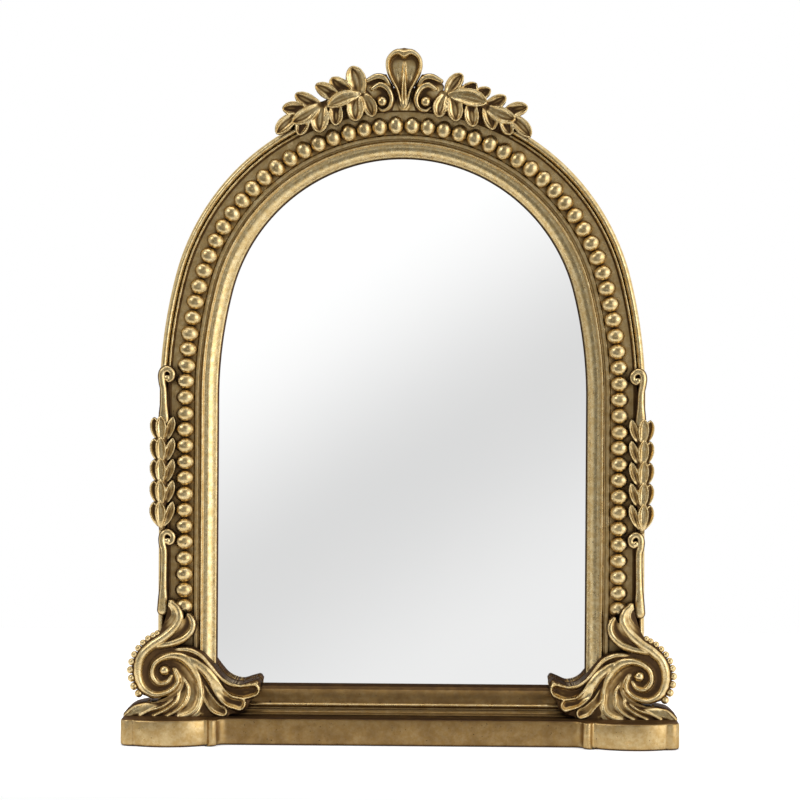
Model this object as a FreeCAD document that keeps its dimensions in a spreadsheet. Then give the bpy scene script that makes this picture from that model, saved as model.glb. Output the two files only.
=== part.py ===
import FreeCAD, Part
import math
import os

import Sketcher
from FreeCAD import Placement, Rotation, Vector

# Arched table mirror on a plinth. X runs right, Y runs back and Z up, in millimetres.
# The origin lies on the table under the middle of the frame.

# Driving dimensions: alias, value, what it measures
SIZES = [
    # Plinth
    ("plinth_overhang", 15.4, "frame's outer wall to the outer side of a pedestal"),
    ("plinth_height", 12.5, "table to the plinth's top"),
    ("plinth_back", 22.0, "origin back to the plinth's rear face"),
    ("middle_front", 24.0, "origin forward to the front between the pedestals"),
    ("pedestal_step", 5.0, "how far a pedestal's shoulders stand before the middle"),
    ("pedestal_bow", 4.4, "rise of a pedestal's bowed front"),
    ("pedestal_width", 39.4, "bowed front's inner end to the outer side"),
    ("pedestal_lead", 2.4, "how far the bowed front's outer end stands before its inner end"),
    ("pedestal_corner", 6.0, "roll on the outer corner"),
    ("pedestal_quirk", 0.8, "groove between the bowed front and that roll"),
    ("pilaster_width", 4.4, "half round beside the bowed front"),
    ("pilaster_rise", 1.7, "how far that half round stands out"),
    ("felt_thickness", 1.0, "felt under the plinth"),
    ("felt_inset", 1.5, "felt's edge inside the plinth's edge"),
    # Arched frame
    ("half_width", 114.8, "middle to the frame's outer wall"),
    ("spring_height", 161.8, "table to where the stiles start to bend"),
    ("crown_ease", 3.8, "how much less the outer wall's radius is over the crown than its half width"),
    ("crown_centre", 192.2, "table to the crown's centre"),
    ("frame_width", 18.4, "outer wall to inner wall"),
    ("frame_back", 12.0, "origin back to the frame's rear face"),
    ("rim_width", 3.2, "round on the outer edge"),
    ("rim_shoulder", 6.6, "origin forward to the foot of that round"),
    ("rim_rise", 1.5, "height of that round"),
    ("quirk_width", 0.4, "groove beside the round"),
    ("quirk_floor", 5.6, "origin forward to the groove's floor"),
    ("astragal_width", 1.2, "thin bead inside the groove"),
    ("astragal_front", 6.4, "origin forward to the foot of the thin bead's round"),
    ("astragal_rise", 0.45, "height of that round"),
    ("channel_floor", 4.6, "origin forward to the floor the pearls sit on"),
    ("strip_width", 1.8, "flat strip along the inner wall"),
    ("strip_front", 5.4, "origin forward to that strip"),
    # Pearls
    ("pearl_diameter", 7.4, "pearl across"),
    ("pearl_lift", 1.7, "pearl's centre above the channel floor"),
    ("pearl_line", 12.0, "outer wall to the line of pearls"),
    ("pearl_foot", 63.2, "table to the lowest pearl's centre"),
    ("pearl_count", 76.0, "pearls round the frame"),
    # Sight moulding and glass
    ("slip_width", 9.1, "frame's inner wall to the glass opening"),
    ("bottom_slip_width", 11.3, "height of the sight moulding along the bottom"),
    ("slip_front", 5.6, "origin forward to the sight moulding's fillet"),
    ("slip_foot", 14.9, "table to the underside of the bottom sight moulding"),
    ("glass_front", 3.0, "origin back to the glass"),
    ("glass_thickness", 3.0, "mirror glass"),
    ("pad_thickness", 2.0, "card between glass and board"),
    ("glass_play", 0.6, "gap round the edge of glass, card and board"),
    ("glass_seat", 18.6, "table to the ledge the glass stands on"),
    ("rail_nose", 9.5, "origin forward to the bottom rail's toe"),
    ("rail_cove", 0.9, "hollow of the bottom rail's front"),
    # Turn buttons on the back
    ("button_length", 16.0, "turn button between the centres of its round ends"),
    ("button_width", 7.0, "turn button across"),
    ("button_thickness", 1.0, "turn button's sheet"),
    ("button_gap", 0.1, "running gap under a turn button"),
    ("button_setback", 8.4, "frame's inner wall to a turn button's screw"),
    ("button_screw", 2.8, "turn button's screw across its shank"),
    ("button_screw_depth", 10.0, "screw's length in the frame"),
    ("button_play", 0.1, "gap between screw and turn button"),
    # Screws up through the plinth
    ("plinth_screw", 3.5, "screw across its shank"),
    ("plinth_screw_head", 7.0, "screw across its head"),
    ("plinth_screw_sink", 4.0, "depth of the hole for the head"),
    ("plinth_screw_grip", 12.0, "screw's length in a stile"),
    # Carved ornament
    ("leaf_height", 3.4, "leaf's thickness at its midrib"),
    ("crest_eye", 4.6, "crest scroll's eye across"),
    ("crest_backing", 5.6, "crest's backing outside the frame's outer wall"),
    ("crest_depth", 10.0, "crest's backing from front to rear"),
    ("palmette_height", 24.4, "palmette's top above the frame's outer wall"),
    ("palmette_half_width", 9.0, "palmette's middle to its side"),
    ("palmette_thickness", 4.4, "palmette from its seat to its rim"),
    ("palmette_hollow", 2.2, "depth of the palmette's hollow"),
    ("laurel_top", 152.3, "table to the tip of the highest laurel leaves"),
    ("laurel_pitch", 9.9, "one tier of laurel leaves to the next"),
    ("laurel_leaf", 11.5, "length of a laurel leaf"),
    ("laurel_spread", 5.0, "how far a tier's outer leaves lean out"),
    ("tendril_upper", 172.6, "table to the eye of the upper tendril"),
    ("tendril_lower", 95.2, "table to the eye of the lower tendril"),
    ("tendril_radius", 4.6, "tendril's eye to its outer turn"),
    ("console_front", 13.0, "origin forward to the ground of the corner scrolls"),
    ("console_back", 2.0, "origin back to the rear of the corner scrolls"),
    ("volute_height", 21.0, "plinth's top to the eye of a corner scroll"),
    ("volute_eye", 4.6, "corner scroll's eye across"),
    ("scroll_pearl", 2.8, "pearl on a corner scroll's back"),
]

# Stretches of the sight moulding's section as shares of its width, from the frame inwards
SLIP_GROOVE, SLIP_FILLET, SLIP_COVE, SLIP_TORUS = 0.055, 0.185, 0.46, 0.91
# Turn button places: degrees from the crown on the arch, heights on the stiles
BUTTON_ANGLES = (-40.0, 40.0)
BUTTON_HEIGHTS = (70.0, 140.0)
# Degrees of the crest's backing on each side of the middle
CREST_SPAN = 29.0
# Backing thickness that the crest's tables are drawn for
DRAWN_BACKING = 5.6
# Screws along the bottom rail, as shares of the frame's half width
RAIL_SCREW_SHARE = 0.4

doc = FreeCAD.newDocument("table_mirror")
sheet = doc.addObject("Spreadsheet::Sheet", "dims")
for row, (alias, value, meaning) in enumerate(SIZES, 1):
    sheet.set(f"A{row}", meaning)
    sheet.set(f"B{row}", str(value))
    sheet.setAlias(f"B{row}", alias)
doc.recompute()


class Size:
    """A length with the sheet expression that gives it."""

    def __init__(self, value, text):
        self.value = float(value)
        self.text = text

    def _join(self, other, sign, swap=False):
        other = other if isinstance(other, Size) else Size(other, f"{other:.6f}")
        a, b = (other, self) if swap else (self, other)
        results = {"+": a.value + b.value, "-": a.value - b.value, "*": a.value * b.value}
        value = a.value / b.value if sign == "/" else results[sign]
        return Size(value, f"({a.text} {sign} {b.text})")

    def __add__(self, other):
        return self._join(other, "+")

    def __radd__(self, other):
        return self._join(other, "+", True)

    def __sub__(self, other):
        return self._join(other, "-")

    def __rsub__(self, other):
        return self._join(other, "-", True)

    def __mul__(self, other):
        return self._join(other, "*")

    def __rmul__(self, other):
        return self._join(other, "*", True)

    def __truediv__(self, other):
        return self._join(other, "/")

    def __neg__(self):
        return Size(-self.value, f"(-1 * {self.text})")

    def root(self):
        return Size(math.sqrt(self.value), f"sqrt({self.text})")


def size(alias):
    return Size(getattr(sheet, alias), f"dims.{alias}")


def mm(alias):
    return float(getattr(sheet, alias))


ZERO = size("half_width") * 0.0


# Sketch helpers: a corner is (x, y, bend), bend being the signed radius of the arc to the next corner
def bend(a, b, rise):
    """Radius of the arc from a to b that rises to the right of the chord, or left if negative."""
    dx, dy = b[0] - a[0], b[1] - a[1]
    return (dx * dx + dy * dy) / (rise * 8.0) + rise / 2.0


def arc_between(start, end, radius):
    chord = end - start
    across = Vector(-chord.y, chord.x, 0).normalize()
    reach = math.sqrt(max(radius * radius - chord.Length**2 / 4, 0.0))
    centre = (start + end) / 2 + across * math.copysign(reach, radius)
    circle = Part.Circle(centre, Vector(0, 0, 1), abs(radius))
    first, last = (start, end) if radius > 0 else (end, start)
    angles = [math.atan2(p.y - centre.y, p.x - centre.x) for p in (first, last)]
    return Part.ArcOfCircle(circle, *angles)


def draw(sketch, corners, closed=True):
    """Draws lines and arcs through the corners, each held to its place by the sheet."""
    count = len(corners) if closed else len(corners) - 1
    spots = [Vector(x.value, y.value, 0) for x, y, _ in corners]
    tails, heads = [], []
    for i in range(count):
        start, end, radius = spots[i], spots[(i + 1) % len(spots)], corners[i][2]
        if radius is None:
            index = sketch.addGeometry(Part.LineSegment(start, end), False)
        else:
            index = sketch.addGeometry(arc_between(start, end, radius.value), False)
        forward = radius is None or radius.value > 0
        tails.append((index, 1 if forward else 2))
        heads.append((index, 2 if forward else 1))
    joins = range(count if closed else count - 1)
    rules = [Sketcher.Constraint("Coincident", *heads[i], *tails[(i + 1) % count]) for i in joins]
    sketch.addConstraint(rules)
    places = tails if closed else tails + [heads[-1]]
    for place, (x, y, _) in zip(places, corners):
        for kind, length in (("DistanceX", x), ("DistanceY", y)):
            rule = sketch.addConstraint(Sketcher.Constraint(kind, -1, 1, *place, length.value))
            sketch.setExpression(f"Constraints[{rule}]", length.text)
    for (index, _), (_, _, radius) in zip(tails, corners):
        if radius is not None:
            rule = sketch.addConstraint(Sketcher.Constraint("Radius", index, abs(radius.value)))
            sketch.setExpression(f"Constraints[{rule}]", f"abs({radius.text})")


def draw_circle(sketch, x, y, diameter):
    circle = Part.Circle(Vector(x.value, y.value, 0), Vector(0, 0, 1), diameter.value / 2)
    index = sketch.addGeometry(circle, False)
    for kind, length in (("DistanceX", x), ("DistanceY", y)):
        rule = sketch.addConstraint(Sketcher.Constraint(kind, -1, 1, index, 3, length.value))
        sketch.setExpression(f"Constraints[{rule}]", length.text)
    rule = sketch.addConstraint(Sketcher.Constraint("Diameter", index, diameter.value))
    sketch.setExpression(f"Constraints[{rule}]", diameter.text)


def new_body(label):
    body = doc.addObject("PartDesign::Body", label)
    body.Label = label
    return body


def new_sketch(body, role, offset=None):
    """A sketch on one of the body's own planes, moved along that plane's normal."""
    sketch = body.newObject("Sketcher::SketchObject", f"{body.Label}_sketch")
    plane = next(f for f in body.Origin.OriginFeatures if f.Role == role)
    sketch.AttachmentSupport = [(plane, "")]
    sketch.MapMode = "FlatFace"
    if offset is not None:
        sketch.setExpression("AttachmentOffset.Base.z", offset.text)
    return sketch


def pad(body, sketch, length):
    feature = body.newObject("PartDesign::Pad", f"{body.Label}_pad")
    feature.Profile = sketch
    feature.setExpression("Length", length.text)
    return feature


def pocket(body, sketch, length, reverse=False):
    feature = body.newObject("PartDesign::Pocket", f"{body.Label}_pocket")
    feature.Profile = sketch
    feature.Reversed = reverse
    feature.setExpression("Length", length.text)
    return feature


def pipe(body, profile, path):
    feature = body.newObject("PartDesign::AdditivePipe", f"{body.Label}_pipe")
    feature.Profile = profile
    feature.Spine = path
    return feature


def plate(label, corners, rear, thickness):
    """An upright plate whose rear face stands at Y = rear."""
    body = new_body(label)
    sketch = new_sketch(body, "XZ_Plane", -rear)
    draw(sketch, corners)
    pad(body, sketch, thickness)
    return body


# Three-centred arch: every line of the frame runs at an even distance inside its outer wall
def crown_radius():
    return size("half_width") - size("crown_ease")


def flank_radius():
    rise = size("crown_centre") - size("spring_height")
    half, crown = size("half_width"), crown_radius()
    return (half * half + rise * rise - crown * crown) / ((half - crown) * 2.0)


def arch_corners(inset, foot):
    """The line at this distance inside the outer wall, from the right foot round to the left."""
    half, spring, crown = size("half_width"), size("spring_height"), crown_radius()
    flank = flank_radius()
    middle = size("crown_centre")
    run, rise = half - flank, middle - spring
    reach = (run * run + rise * rise).root()
    joint_x = -run / reach * (crown - inset)
    joint_z = middle + rise / reach * (crown - inset)
    side = flank - inset
    right = [
        (half - inset, foot, None),
        (half - inset, spring, side),
        (joint_x, joint_z, crown - inset),
    ]
    left = [
        (-joint_x, joint_z, side),
        (inset - half, spring, None),
        (inset - half, foot, None),
    ]
    return right + left


def arch_place(inset, along):
    """Point and outward direction at this length up from the spring, on the line at the given inset."""
    flank, crown = flank_radius().value, crown_radius().value
    run = mm("half_width") - flank
    rise = mm("crown_centre") - mm("spring_height")
    turn = math.atan2(rise, -run)
    flank_length = turn * (flank - inset)
    if along <= 0:
        return Vector(mm("half_width") - inset, 0, mm("spring_height") + along), Vector(1, 0, 0)
    if along < flank_length:
        angle = along / (flank - inset)
        out = Vector(math.cos(angle), 0, math.sin(angle))
        return Vector(run, 0, mm("spring_height")) + out * (flank - inset), out
    angle = turn + (along - flank_length) / (crown - inset)
    out = Vector(math.cos(angle), 0, math.sin(angle))
    return Vector(0, 0, mm("crown_centre")) + out * (crown - inset), out


def arch_half_length(inset):
    flank, crown = flank_radius().value, crown_radius().value
    rise = mm("crown_centre") - mm("spring_height")
    turn = math.atan2(rise, flank - mm("half_width"))
    return turn * (flank - inset) + (math.pi / 2 - turn) * (crown - inset)


def crest_scale():
    """Scale of the crest's tables, which are drawn for one thickness of backing."""
    return mm("crest_backing") / DRAWN_BACKING


def crest_point(angle, outward, y=0.0):
    """Point at this angle right of the crown and this far outside the outer wall, as drawn."""
    reach = crown_radius().value + outward * crest_scale()
    turn = math.radians(angle)
    return Vector(reach * math.sin(turn), y, mm("crown_centre") + reach * math.cos(turn))


# Plinth
def plinth_corners(inset):
    wide, back = size("half_width") + size("plinth_overhang") - inset, size("plinth_back") - inset
    front = -size("middle_front") + inset
    shoulder = front - size("pedestal_step")
    bow_start = wide + inset - size("pedestal_width") + inset
    round_start = bow_start - size("pilaster_width") - 1.2
    step = size("pedestal_step")
    corner, quirk = size("pedestal_corner"), size("pedestal_quirk")
    lead = shoulder - size("pedestal_lead")
    right = [
        [round_start - step, front, -step],
        [round_start, shoulder, None],
        [round_start + size("pilaster_width"), shoulder, None],
        [bow_start, shoulder, None],
        [wide - corner - quirk, lead, None],
        [wide - corner, lead + quirk, None],
        [wide, lead + corner, None],
        [wide, back - 2.0, ZERO + 2.0],
        [wide - 2.0, back, None],
    ]
    right[1][2] = bend(right[1], right[2], size("pilaster_rise"))
    right[3][2] = bend(right[3], right[4], size("pedestal_bow"))
    right[5][2] = bend(right[5], right[6], corner * 0.4)
    left = [[-x, y, right[i - 1][2]] for i, (x, y, _) in enumerate(right) if i]
    left.insert(0, [-right[0][0], right[0][1], None])
    return [tuple(c) for c in right + left[::-1]]


def plinth_screw_spots():
    stile = size("half_width") - size("frame_width") / 2.0
    rail = size("half_width") * RAIL_SCREW_SHARE
    return [stile, rail, -rail, -stile]


def make_plinth():
    body = new_body("plinth")
    outline = new_sketch(body, "XY_Plane", size("felt_thickness"))
    draw(outline, plinth_corners(ZERO))
    pad(body, outline, size("plinth_height") - size("felt_thickness"))
    bores = [
        (size("plinth_screw") + 0.2, size("plinth_height") - size("felt_thickness")),
        (size("plinth_screw_head") + 0.4, size("plinth_screw_sink")),
    ]
    for diameter, depth in bores:
        holes = new_sketch(body, "XY_Plane", size("felt_thickness"))
        for x in plinth_screw_spots():
            draw_circle(holes, x, ZERO + 2.0, diameter)
        pocket(body, holes, depth, True)
    return body


def make_felt():
    body = new_body("base_felt")
    outline = new_sketch(body, "XY_Plane")
    draw(outline, plinth_corners(size("felt_inset")))
    pad(body, outline, size("felt_thickness"))
    return body


# Arched frame and its bottom rail
def frame_section():
    """Section of the moulding at the right stile, from the outer wall inwards."""
    wall, back = size("half_width"), size("frame_back")
    rim = wall - size("rim_width")
    quirk = rim - size("quirk_width")
    thin = quirk - size("astragal_width")
    strip = wall - size("frame_width") + size("strip_width")
    inner = wall - size("frame_width")
    corners = [
        [wall, back, None],
        [wall, -size("rim_shoulder"), None],
        [rim, -size("rim_shoulder"), None],
        [rim, -size("quirk_floor"), None],
        [quirk, -size("quirk_floor"), None],
        [quirk, -size("astragal_front"), None],
        [thin, -size("astragal_front"), None],
        [thin, -size("channel_floor"), None],
        [strip, -size("channel_floor"), None],
        [strip, -size("strip_front"), None],
        [inner, -size("strip_front"), None],
        [inner, back, None],
    ]
    corners[1][2] = bend(corners[1], corners[2], -size("rim_rise"))
    corners[5][2] = bend(corners[5], corners[6], -size("astragal_rise"))
    return [tuple(c) for c in corners]


def button_spots():
    """Place and inward turn in degrees of each turn button on the frame's back."""
    spots = []
    inset = size("frame_width") - size("button_setback")
    reach = crown_radius() - inset
    for angle in BUTTON_ANGLES:
        turn = math.radians(angle)
        spots.append((reach * math.sin(turn), size("crown_centre") + reach * math.cos(turn), -angle - 90))
    for height in BUTTON_HEIGHTS:
        side = size("half_width") - inset
        spots.append((side, ZERO + height, 180.0))
        spots.append((-side, ZERO + height, 0.0))
    return spots


def make_frame():
    body = new_body("frame_arch")
    path = new_sketch(body, "XZ_Plane")
    draw(path, arch_corners(ZERO, size("plinth_height")), closed=False)
    section = new_sketch(body, "XY_Plane", size("plinth_height"))
    draw(section, frame_section())
    pipe(body, section, path)
    holes = new_sketch(body, "XZ_Plane", -size("frame_back"))
    for x, z, _ in button_spots():
        draw_circle(holes, x, z, size("button_screw"))
    pocket(body, holes, size("button_screw_depth"), True)
    feet = new_sketch(body, "XY_Plane", size("plinth_height"))
    for x in (plinth_screw_spots()[0], plinth_screw_spots()[-1]):
        draw_circle(feet, x, ZERO + 2.0, size("plinth_screw"))
    pocket(body, feet, size("plinth_screw_grip"), True)
    return body


def make_bottom_rail():
    body = new_body("frame_bottom_rail")
    half = size("half_width") - size("frame_width")
    foot, step, seat = size("plinth_height"), size("slip_foot"), size("glass_seat")
    front = -size("slip_front") - 1.0
    corners = [
        [-size("rail_nose"), foot, None],
        [size("frame_back"), foot, None],
        [size("frame_back"), seat, None],
        [size("glass_front"), seat, None],
        [size("glass_front"), step, None],
        [front, step, None],
        [front, step - 0.6, None],
        [-size("rail_nose"), foot + 0.6, None],
    ]
    corners[6][2] = bend(corners[6], corners[7], -size("rail_cove"))
    section = new_sketch(body, "YZ_Plane", -half)
    draw(section, [tuple(c) for c in corners])
    pad(body, section, half * 2.0)
    holes = new_sketch(body, "XY_Plane", foot)
    for x in plinth_screw_spots()[1:3]:
        draw_circle(holes, x, ZERO + 2.0, size("plinth_screw"))
    pocket(body, holes, (step - foot) - 0.9, True)
    return body


# Sight moulding
def slip_section(width):
    """Corners (inward, Y, bend) of the sight moulding for this width."""
    front, back = size("slip_front"), size("glass_front")
    corners = [
        [ZERO, back, None],
        [ZERO, 1.4 - front, None],
        [width * SLIP_GROOVE, 1.4 - front, None],
        [width * SLIP_GROOVE, -front, None],
        [width * SLIP_FILLET, -front, None],
        [width * SLIP_FILLET, 0.8 - front, None],
        [width * SLIP_COVE, 1.6 - front, None],
        [width * SLIP_TORUS, 3.9 - front, None],
        [width, back - 1.4, None],
        [width, back, None],
    ]
    return corners


def bent_slip(corners, turn):
    """The same corners with the fillet, cove and torus rounded; turn is the drawing's sense."""
    corners[3][2] = bend(corners[3], corners[4], ZERO + 0.35 * turn)
    corners[5][2] = bend(corners[5], corners[6], ZERO - 0.5 * turn)
    corners[6][2] = bend(corners[6], corners[7], ZERO + 1.2 * turn)
    return [tuple(c) for c in corners]


def make_sight_moulding():
    body = new_body("sight_moulding")
    wall = size("half_width") - size("frame_width")
    path = new_sketch(body, "XZ_Plane")
    draw(path, arch_corners(size("frame_width"), size("slip_foot")), closed=False)
    section = new_sketch(body, "XY_Plane", size("slip_foot"))
    corners = [[wall - inward, y, None] for inward, y, _ in slip_section(size("slip_width"))]
    draw(section, bent_slip(corners, -1.0))
    pipe(body, section, path)
    # The feet are mitred on a slant, since the bottom moulding is taller than these are wide
    low, high = size("slip_foot"), size("slip_foot") + size("bottom_slip_width")
    for side in (1.0, -1.0):
        mitre = new_sketch(body, "XZ_Plane", -size("frame_back"))
        edge = (wall - size("slip_width")) * side
        draw(mitre, [(wall * side, low, None), (edge, high, None), (edge, low, None)])
        pocket(body, mitre, size("frame_back") * 3.0, True)
    return body


def make_bottom_slip():
    body = new_body("sight_moulding_bottom")
    wall = size("half_width") - size("frame_width")
    low, tall = size("slip_foot"), size("bottom_slip_width")
    section = new_sketch(body, "YZ_Plane", -wall)
    corners = [[y, low + inward, None] for inward, y, _ in slip_section(tall)]
    draw(section, bent_slip(corners, -1.0))
    pad(body, section, wall * 2.0)
    for side in (1.0, -1.0):
        mitre = new_sketch(body, "XZ_Plane", -size("frame_back"))
        edge = (wall - size("slip_width")) * side
        top = low + tall
        draw(mitre, [(wall * side, low, None), (edge, top, None), (wall * side, top, None)])
        pocket(body, mitre, size("frame_back") * 3.0, True)
    return body


# Glass, card and board behind the sight moulding
def make_glazing():
    inset = size("frame_width") + size("glass_play")
    outline = arch_corners(inset, size("glass_seat"))
    glass_rear = size("glass_front") + size("glass_thickness")
    pad_rear = glass_rear + size("pad_thickness")
    return [
        plate("mirror_glass", outline, glass_rear, size("glass_thickness")),
        plate("backing_pad", outline, pad_rear, size("pad_thickness")),
        plate("back_board", outline, size("frame_back"), size("frame_back") - pad_rear),
    ]


# Turn buttons and screws
def make_button(number, spot):
    x, z, turn = spot
    body = new_body(f"turn_button_{number}")
    half, long = size("button_width") / 2.0, size("button_length")
    sketch = new_sketch(body, "XZ_Plane", -size("button_thickness"))
    end = bend((long, -half), (long, half), half * 0.98)
    start = bend((ZERO, half), (ZERO, -half), half * 0.98)
    draw(sketch, [(ZERO, -half, None), (long, -half, end), (long, half, None), (ZERO, half, start)])
    draw_circle(sketch, ZERO, ZERO, size("button_screw") + size("button_play") * 2.0)
    pad(body, sketch, size("button_thickness"))
    body.setExpression("Placement.Base.x", x.text)
    body.setExpression("Placement.Base.y", (size("frame_back") + size("button_gap")).text)
    body.setExpression("Placement.Base.z", z.text)
    body.Placement.Rotation = Rotation(Vector(0, -1, 0), turn)
    return body


def screw(start, axis, shank, length, head, head_height):
    """A plain round-headed screw whose head begins at start and whose shank runs along axis."""
    grip = Part.makeCylinder(shank / 2, length, start, axis)
    top = Part.makeCylinder(head / 2, head_height, start, -axis)
    return grip.fuse(top).removeSplitter()


def feature(label, shape):
    """A sub-part whose shape is worked out above from the sheet."""
    item = doc.addObject("Part::Feature", label)
    item.Label = label
    item.Shape = shape
    item.Placement = Placement()
    return item


def make_screws():
    gap = mm("button_gap") * 2 + mm("button_thickness")
    buttons = []
    for x, z, _ in button_spots():
        start = Vector(x.value, mm("frame_back") + gap, z.value)
        length = mm("button_screw_depth") + gap
        buttons.append(screw(start, Vector(0, -1, 0), mm("button_screw"), length, 5.6, 1.8))
    base = mm("felt_thickness") + mm("plinth_screw_sink")
    stile_grip = mm("plinth_height") - base + mm("plinth_screw_grip")
    rail_grip = mm("slip_foot") - base - 0.9
    frame = []
    for x, length in zip(plinth_screw_spots(), (stile_grip, rail_grip, rail_grip, stile_grip)):
        start = Vector(x.value, 2.0, base)
        head = mm("plinth_screw_head")
        frame.append(screw(start, Vector(0, 0, 1), mm("plinth_screw"), length, head, 2.4))
    return [
        feature("turn_button_screws", Part.makeCompound(buttons)),
        feature("frame_screws", Part.makeCompound(frame)),
    ]


# Pearls in the channel
def make_pearls():
    radius, lift = mm("pearl_diameter") / 2, mm("pearl_lift")
    inset = mm("pearl_line")
    below = mm("pearl_foot") - mm("spring_height")
    count = int(round(mm("pearl_count")))
    pitch = 2 * (arch_half_length(inset) - below) / (count - 1)
    cut = -math.degrees(math.asin(lift / radius))
    pearls = []
    for i in range(count // 2):
        spot, _ = arch_place(inset, below + i * pitch)
        for side in (1, -1):
            centre = Vector(spot.x * side, -mm("channel_floor") - lift, spot.z)
            pearls.append(Part.makeSphere(radius, centre, Vector(0, -1, 0), cut, 90, 360))
    return feature("bead_course", Part.makeCompound(pearls))


# Carved ornament is made from leaves and tapering ropes
def leaf(base, tip, width, height, lean=0.25):
    """A pointed leaf lying on the plane Y = base.y, with raised edges and a midrib."""
    along = tip - base
    across = Vector(-along.z, 0, along.x).normalize() * (width / 2)
    middle = base + along * 0.45
    blade = Part.Wire([
        Part.Arc(base, middle + across, tip).toShape(),
        Part.Arc(tip, middle - across, base).toShape(),
    ])
    prism = Part.Face(blade).extrude(Vector(0, -height, 0))
    slope = [(1.2, 0), (1.2, 0.75), (0.85, 0.75), (0.4, 0.5)]
    ridge = [(-side, rise) for side, rise in slope] + [(0, 1)] + slope[::-1]
    start = base - along * 0.3
    spots = [start + across * side + Vector(0, -height * rise, 0) for side, rise in ridge]
    roof = Part.Face(Part.makePolygon(spots + spots[:1]))
    return prism.common(roof.extrude(along * 1.6 + Vector(0, height * lean, 0)))


def rope(points, radii, stations=16):
    """A tapering round strand through the points."""
    line = Part.BSplineCurve()
    line.interpolate(points)
    first, last = line.FirstParameter, line.LastParameter
    rings = []
    for i in range(stations + 1):
        share = i / stations
        at = first + (last - first) * share
        place = share * (len(radii) - 1)
        k = min(int(place), len(radii) - 2)
        radius = radii[k] + (radii[k + 1] - radii[k]) * (place - k)
        ring = Part.Circle(line.value(at), Vector(*line.tangent(at)[0]), radius)
        rings.append(Part.Wire(ring.toShape()))
    return Part.makeLoft(rings, True, False)


def fuse_all(shapes):
    return shapes[0].fuse(shapes[1:]) if len(shapes) > 1 else shapes[0]


def main_solid(shape):
    return max(shape.Solids, key=lambda s: s.Volume)


def behind(y):
    """A block that fills everything behind the plane Y = y."""
    return Part.makeBox(600, 100, 600, Vector(-300, y, -100))


def below(z):
    """A block that fills everything under the plane Z = z."""
    return Part.makeBox(600, 200, z, Vector(-300, -100, 0))


def mirrored(shape):
    return shape.mirror(Vector(0, 0, 0), Vector(1, 0, 0))


# Crest: backing, palmette, scrolls and leaf sprays on the plane of the rim's top
def rim_top():
    return size("rim_shoulder") + size("rim_rise")


def make_crest_backing():
    turn = math.radians(CREST_SPAN)
    middle, inner = size("crown_centre"), crown_radius()
    outer = inner + size("crest_backing")
    corners = [
        (-inner * math.sin(turn), middle + inner * math.cos(turn), -inner),
        (inner * math.sin(turn), middle + inner * math.cos(turn), None),
        (outer * math.sin(turn), middle + outer * math.cos(turn), outer),
        (-outer * math.sin(turn), middle + outer * math.cos(turn), None),
    ]
    return plate("crest_backing", corners, size("crest_depth") - rim_top(), size("crest_depth"))


def palmette_corners(inset):
    """Outline of the palmette, or of its hollow when inset."""
    wall = size("crown_centre") + crown_radius()
    top, side = wall + size("palmette_height") - inset, size("palmette_half_width") - inset
    waist, foot = side * 0.42, wall - 4.6 + inset * 4.0
    shoulder = top - 6.4
    right = [[ZERO + 1.5, foot, None], [waist, wall + 6.0, None], [side, shoulder, None]]
    left = [[-x, z, None] for x, z, _ in right[::-1]]
    right[1][2] = bend(right[1], right[2], ZERO + 0.8)
    right[2][2] = bend(right[2], left[0], top - shoulder)
    left[0][2] = bend(left[0], left[1], ZERO + 0.8)
    return [tuple(c) for c in right + left]


def make_palmette():
    body = new_body("crest_palmette")
    seat, thick, hollow = rim_top(), size("palmette_thickness"), size("palmette_hollow")
    outline = new_sketch(body, "XZ_Plane", seat)
    draw(outline, palmette_corners(ZERO))
    pad(body, outline, thick)
    bowl = new_sketch(body, "XZ_Plane", seat + thick)
    draw(bowl, palmette_corners(ZERO + 1.3))
    pocket(body, bowl, hollow)
    # Twin ribs rise from the floor of the hollow
    low = size("crown_centre") + crown_radius() + 1.0
    high = low + size("palmette_height") - 7.0
    for side in (1.0, -1.0):
        rib = new_sketch(body, "XZ_Plane", seat + thick - hollow)
        near, foot, head = ZERO + 0.2 * side, ZERO + 0.9 * side, ZERO + 1.6 * side
        draw(rib, [(near, low, None), (foot, low, None), (head, high, None), (near, high, None)])
        pad(body, rib, hollow * 0.7)
    return body


# Crest scroll: outline and strands, as degrees right of the crown and distance outside the outer wall
CREST_SCROLL_OUTLINE = [
    (9.0, 9.4), (9.0, 11.6), (6.0, 13.4), (3.9, 12.4), (2.5, 6.0), (2.2, 0.0), (2.9, -5.0), (4.8, -6.6),
    (7.0, -4.6), (7.4, 1.0), (8.2, 5.0),
]
CREST_SCROLL_INNER = [(7.4, 5.5), (5.5, 6.9), (3.9, 4.6), (3.1, 0.3), (3.6, -3.9), (5.0, -5.1), (6.3, -3.2)]
CREST_SCROLL_OUTER = [(8.5, 10.6), (6.0, 12.0), (4.5, 10.8), (3.3, 6.4), (2.9, 2.0)]
CREST_SCROLL_RADII = (0.7, 1.0, 1.1, 1.0, 0.8)
CREST_SCROLL_EYE = (5.4, -0.5)
CREST_SCROLL_GROUND = 1.2
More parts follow.
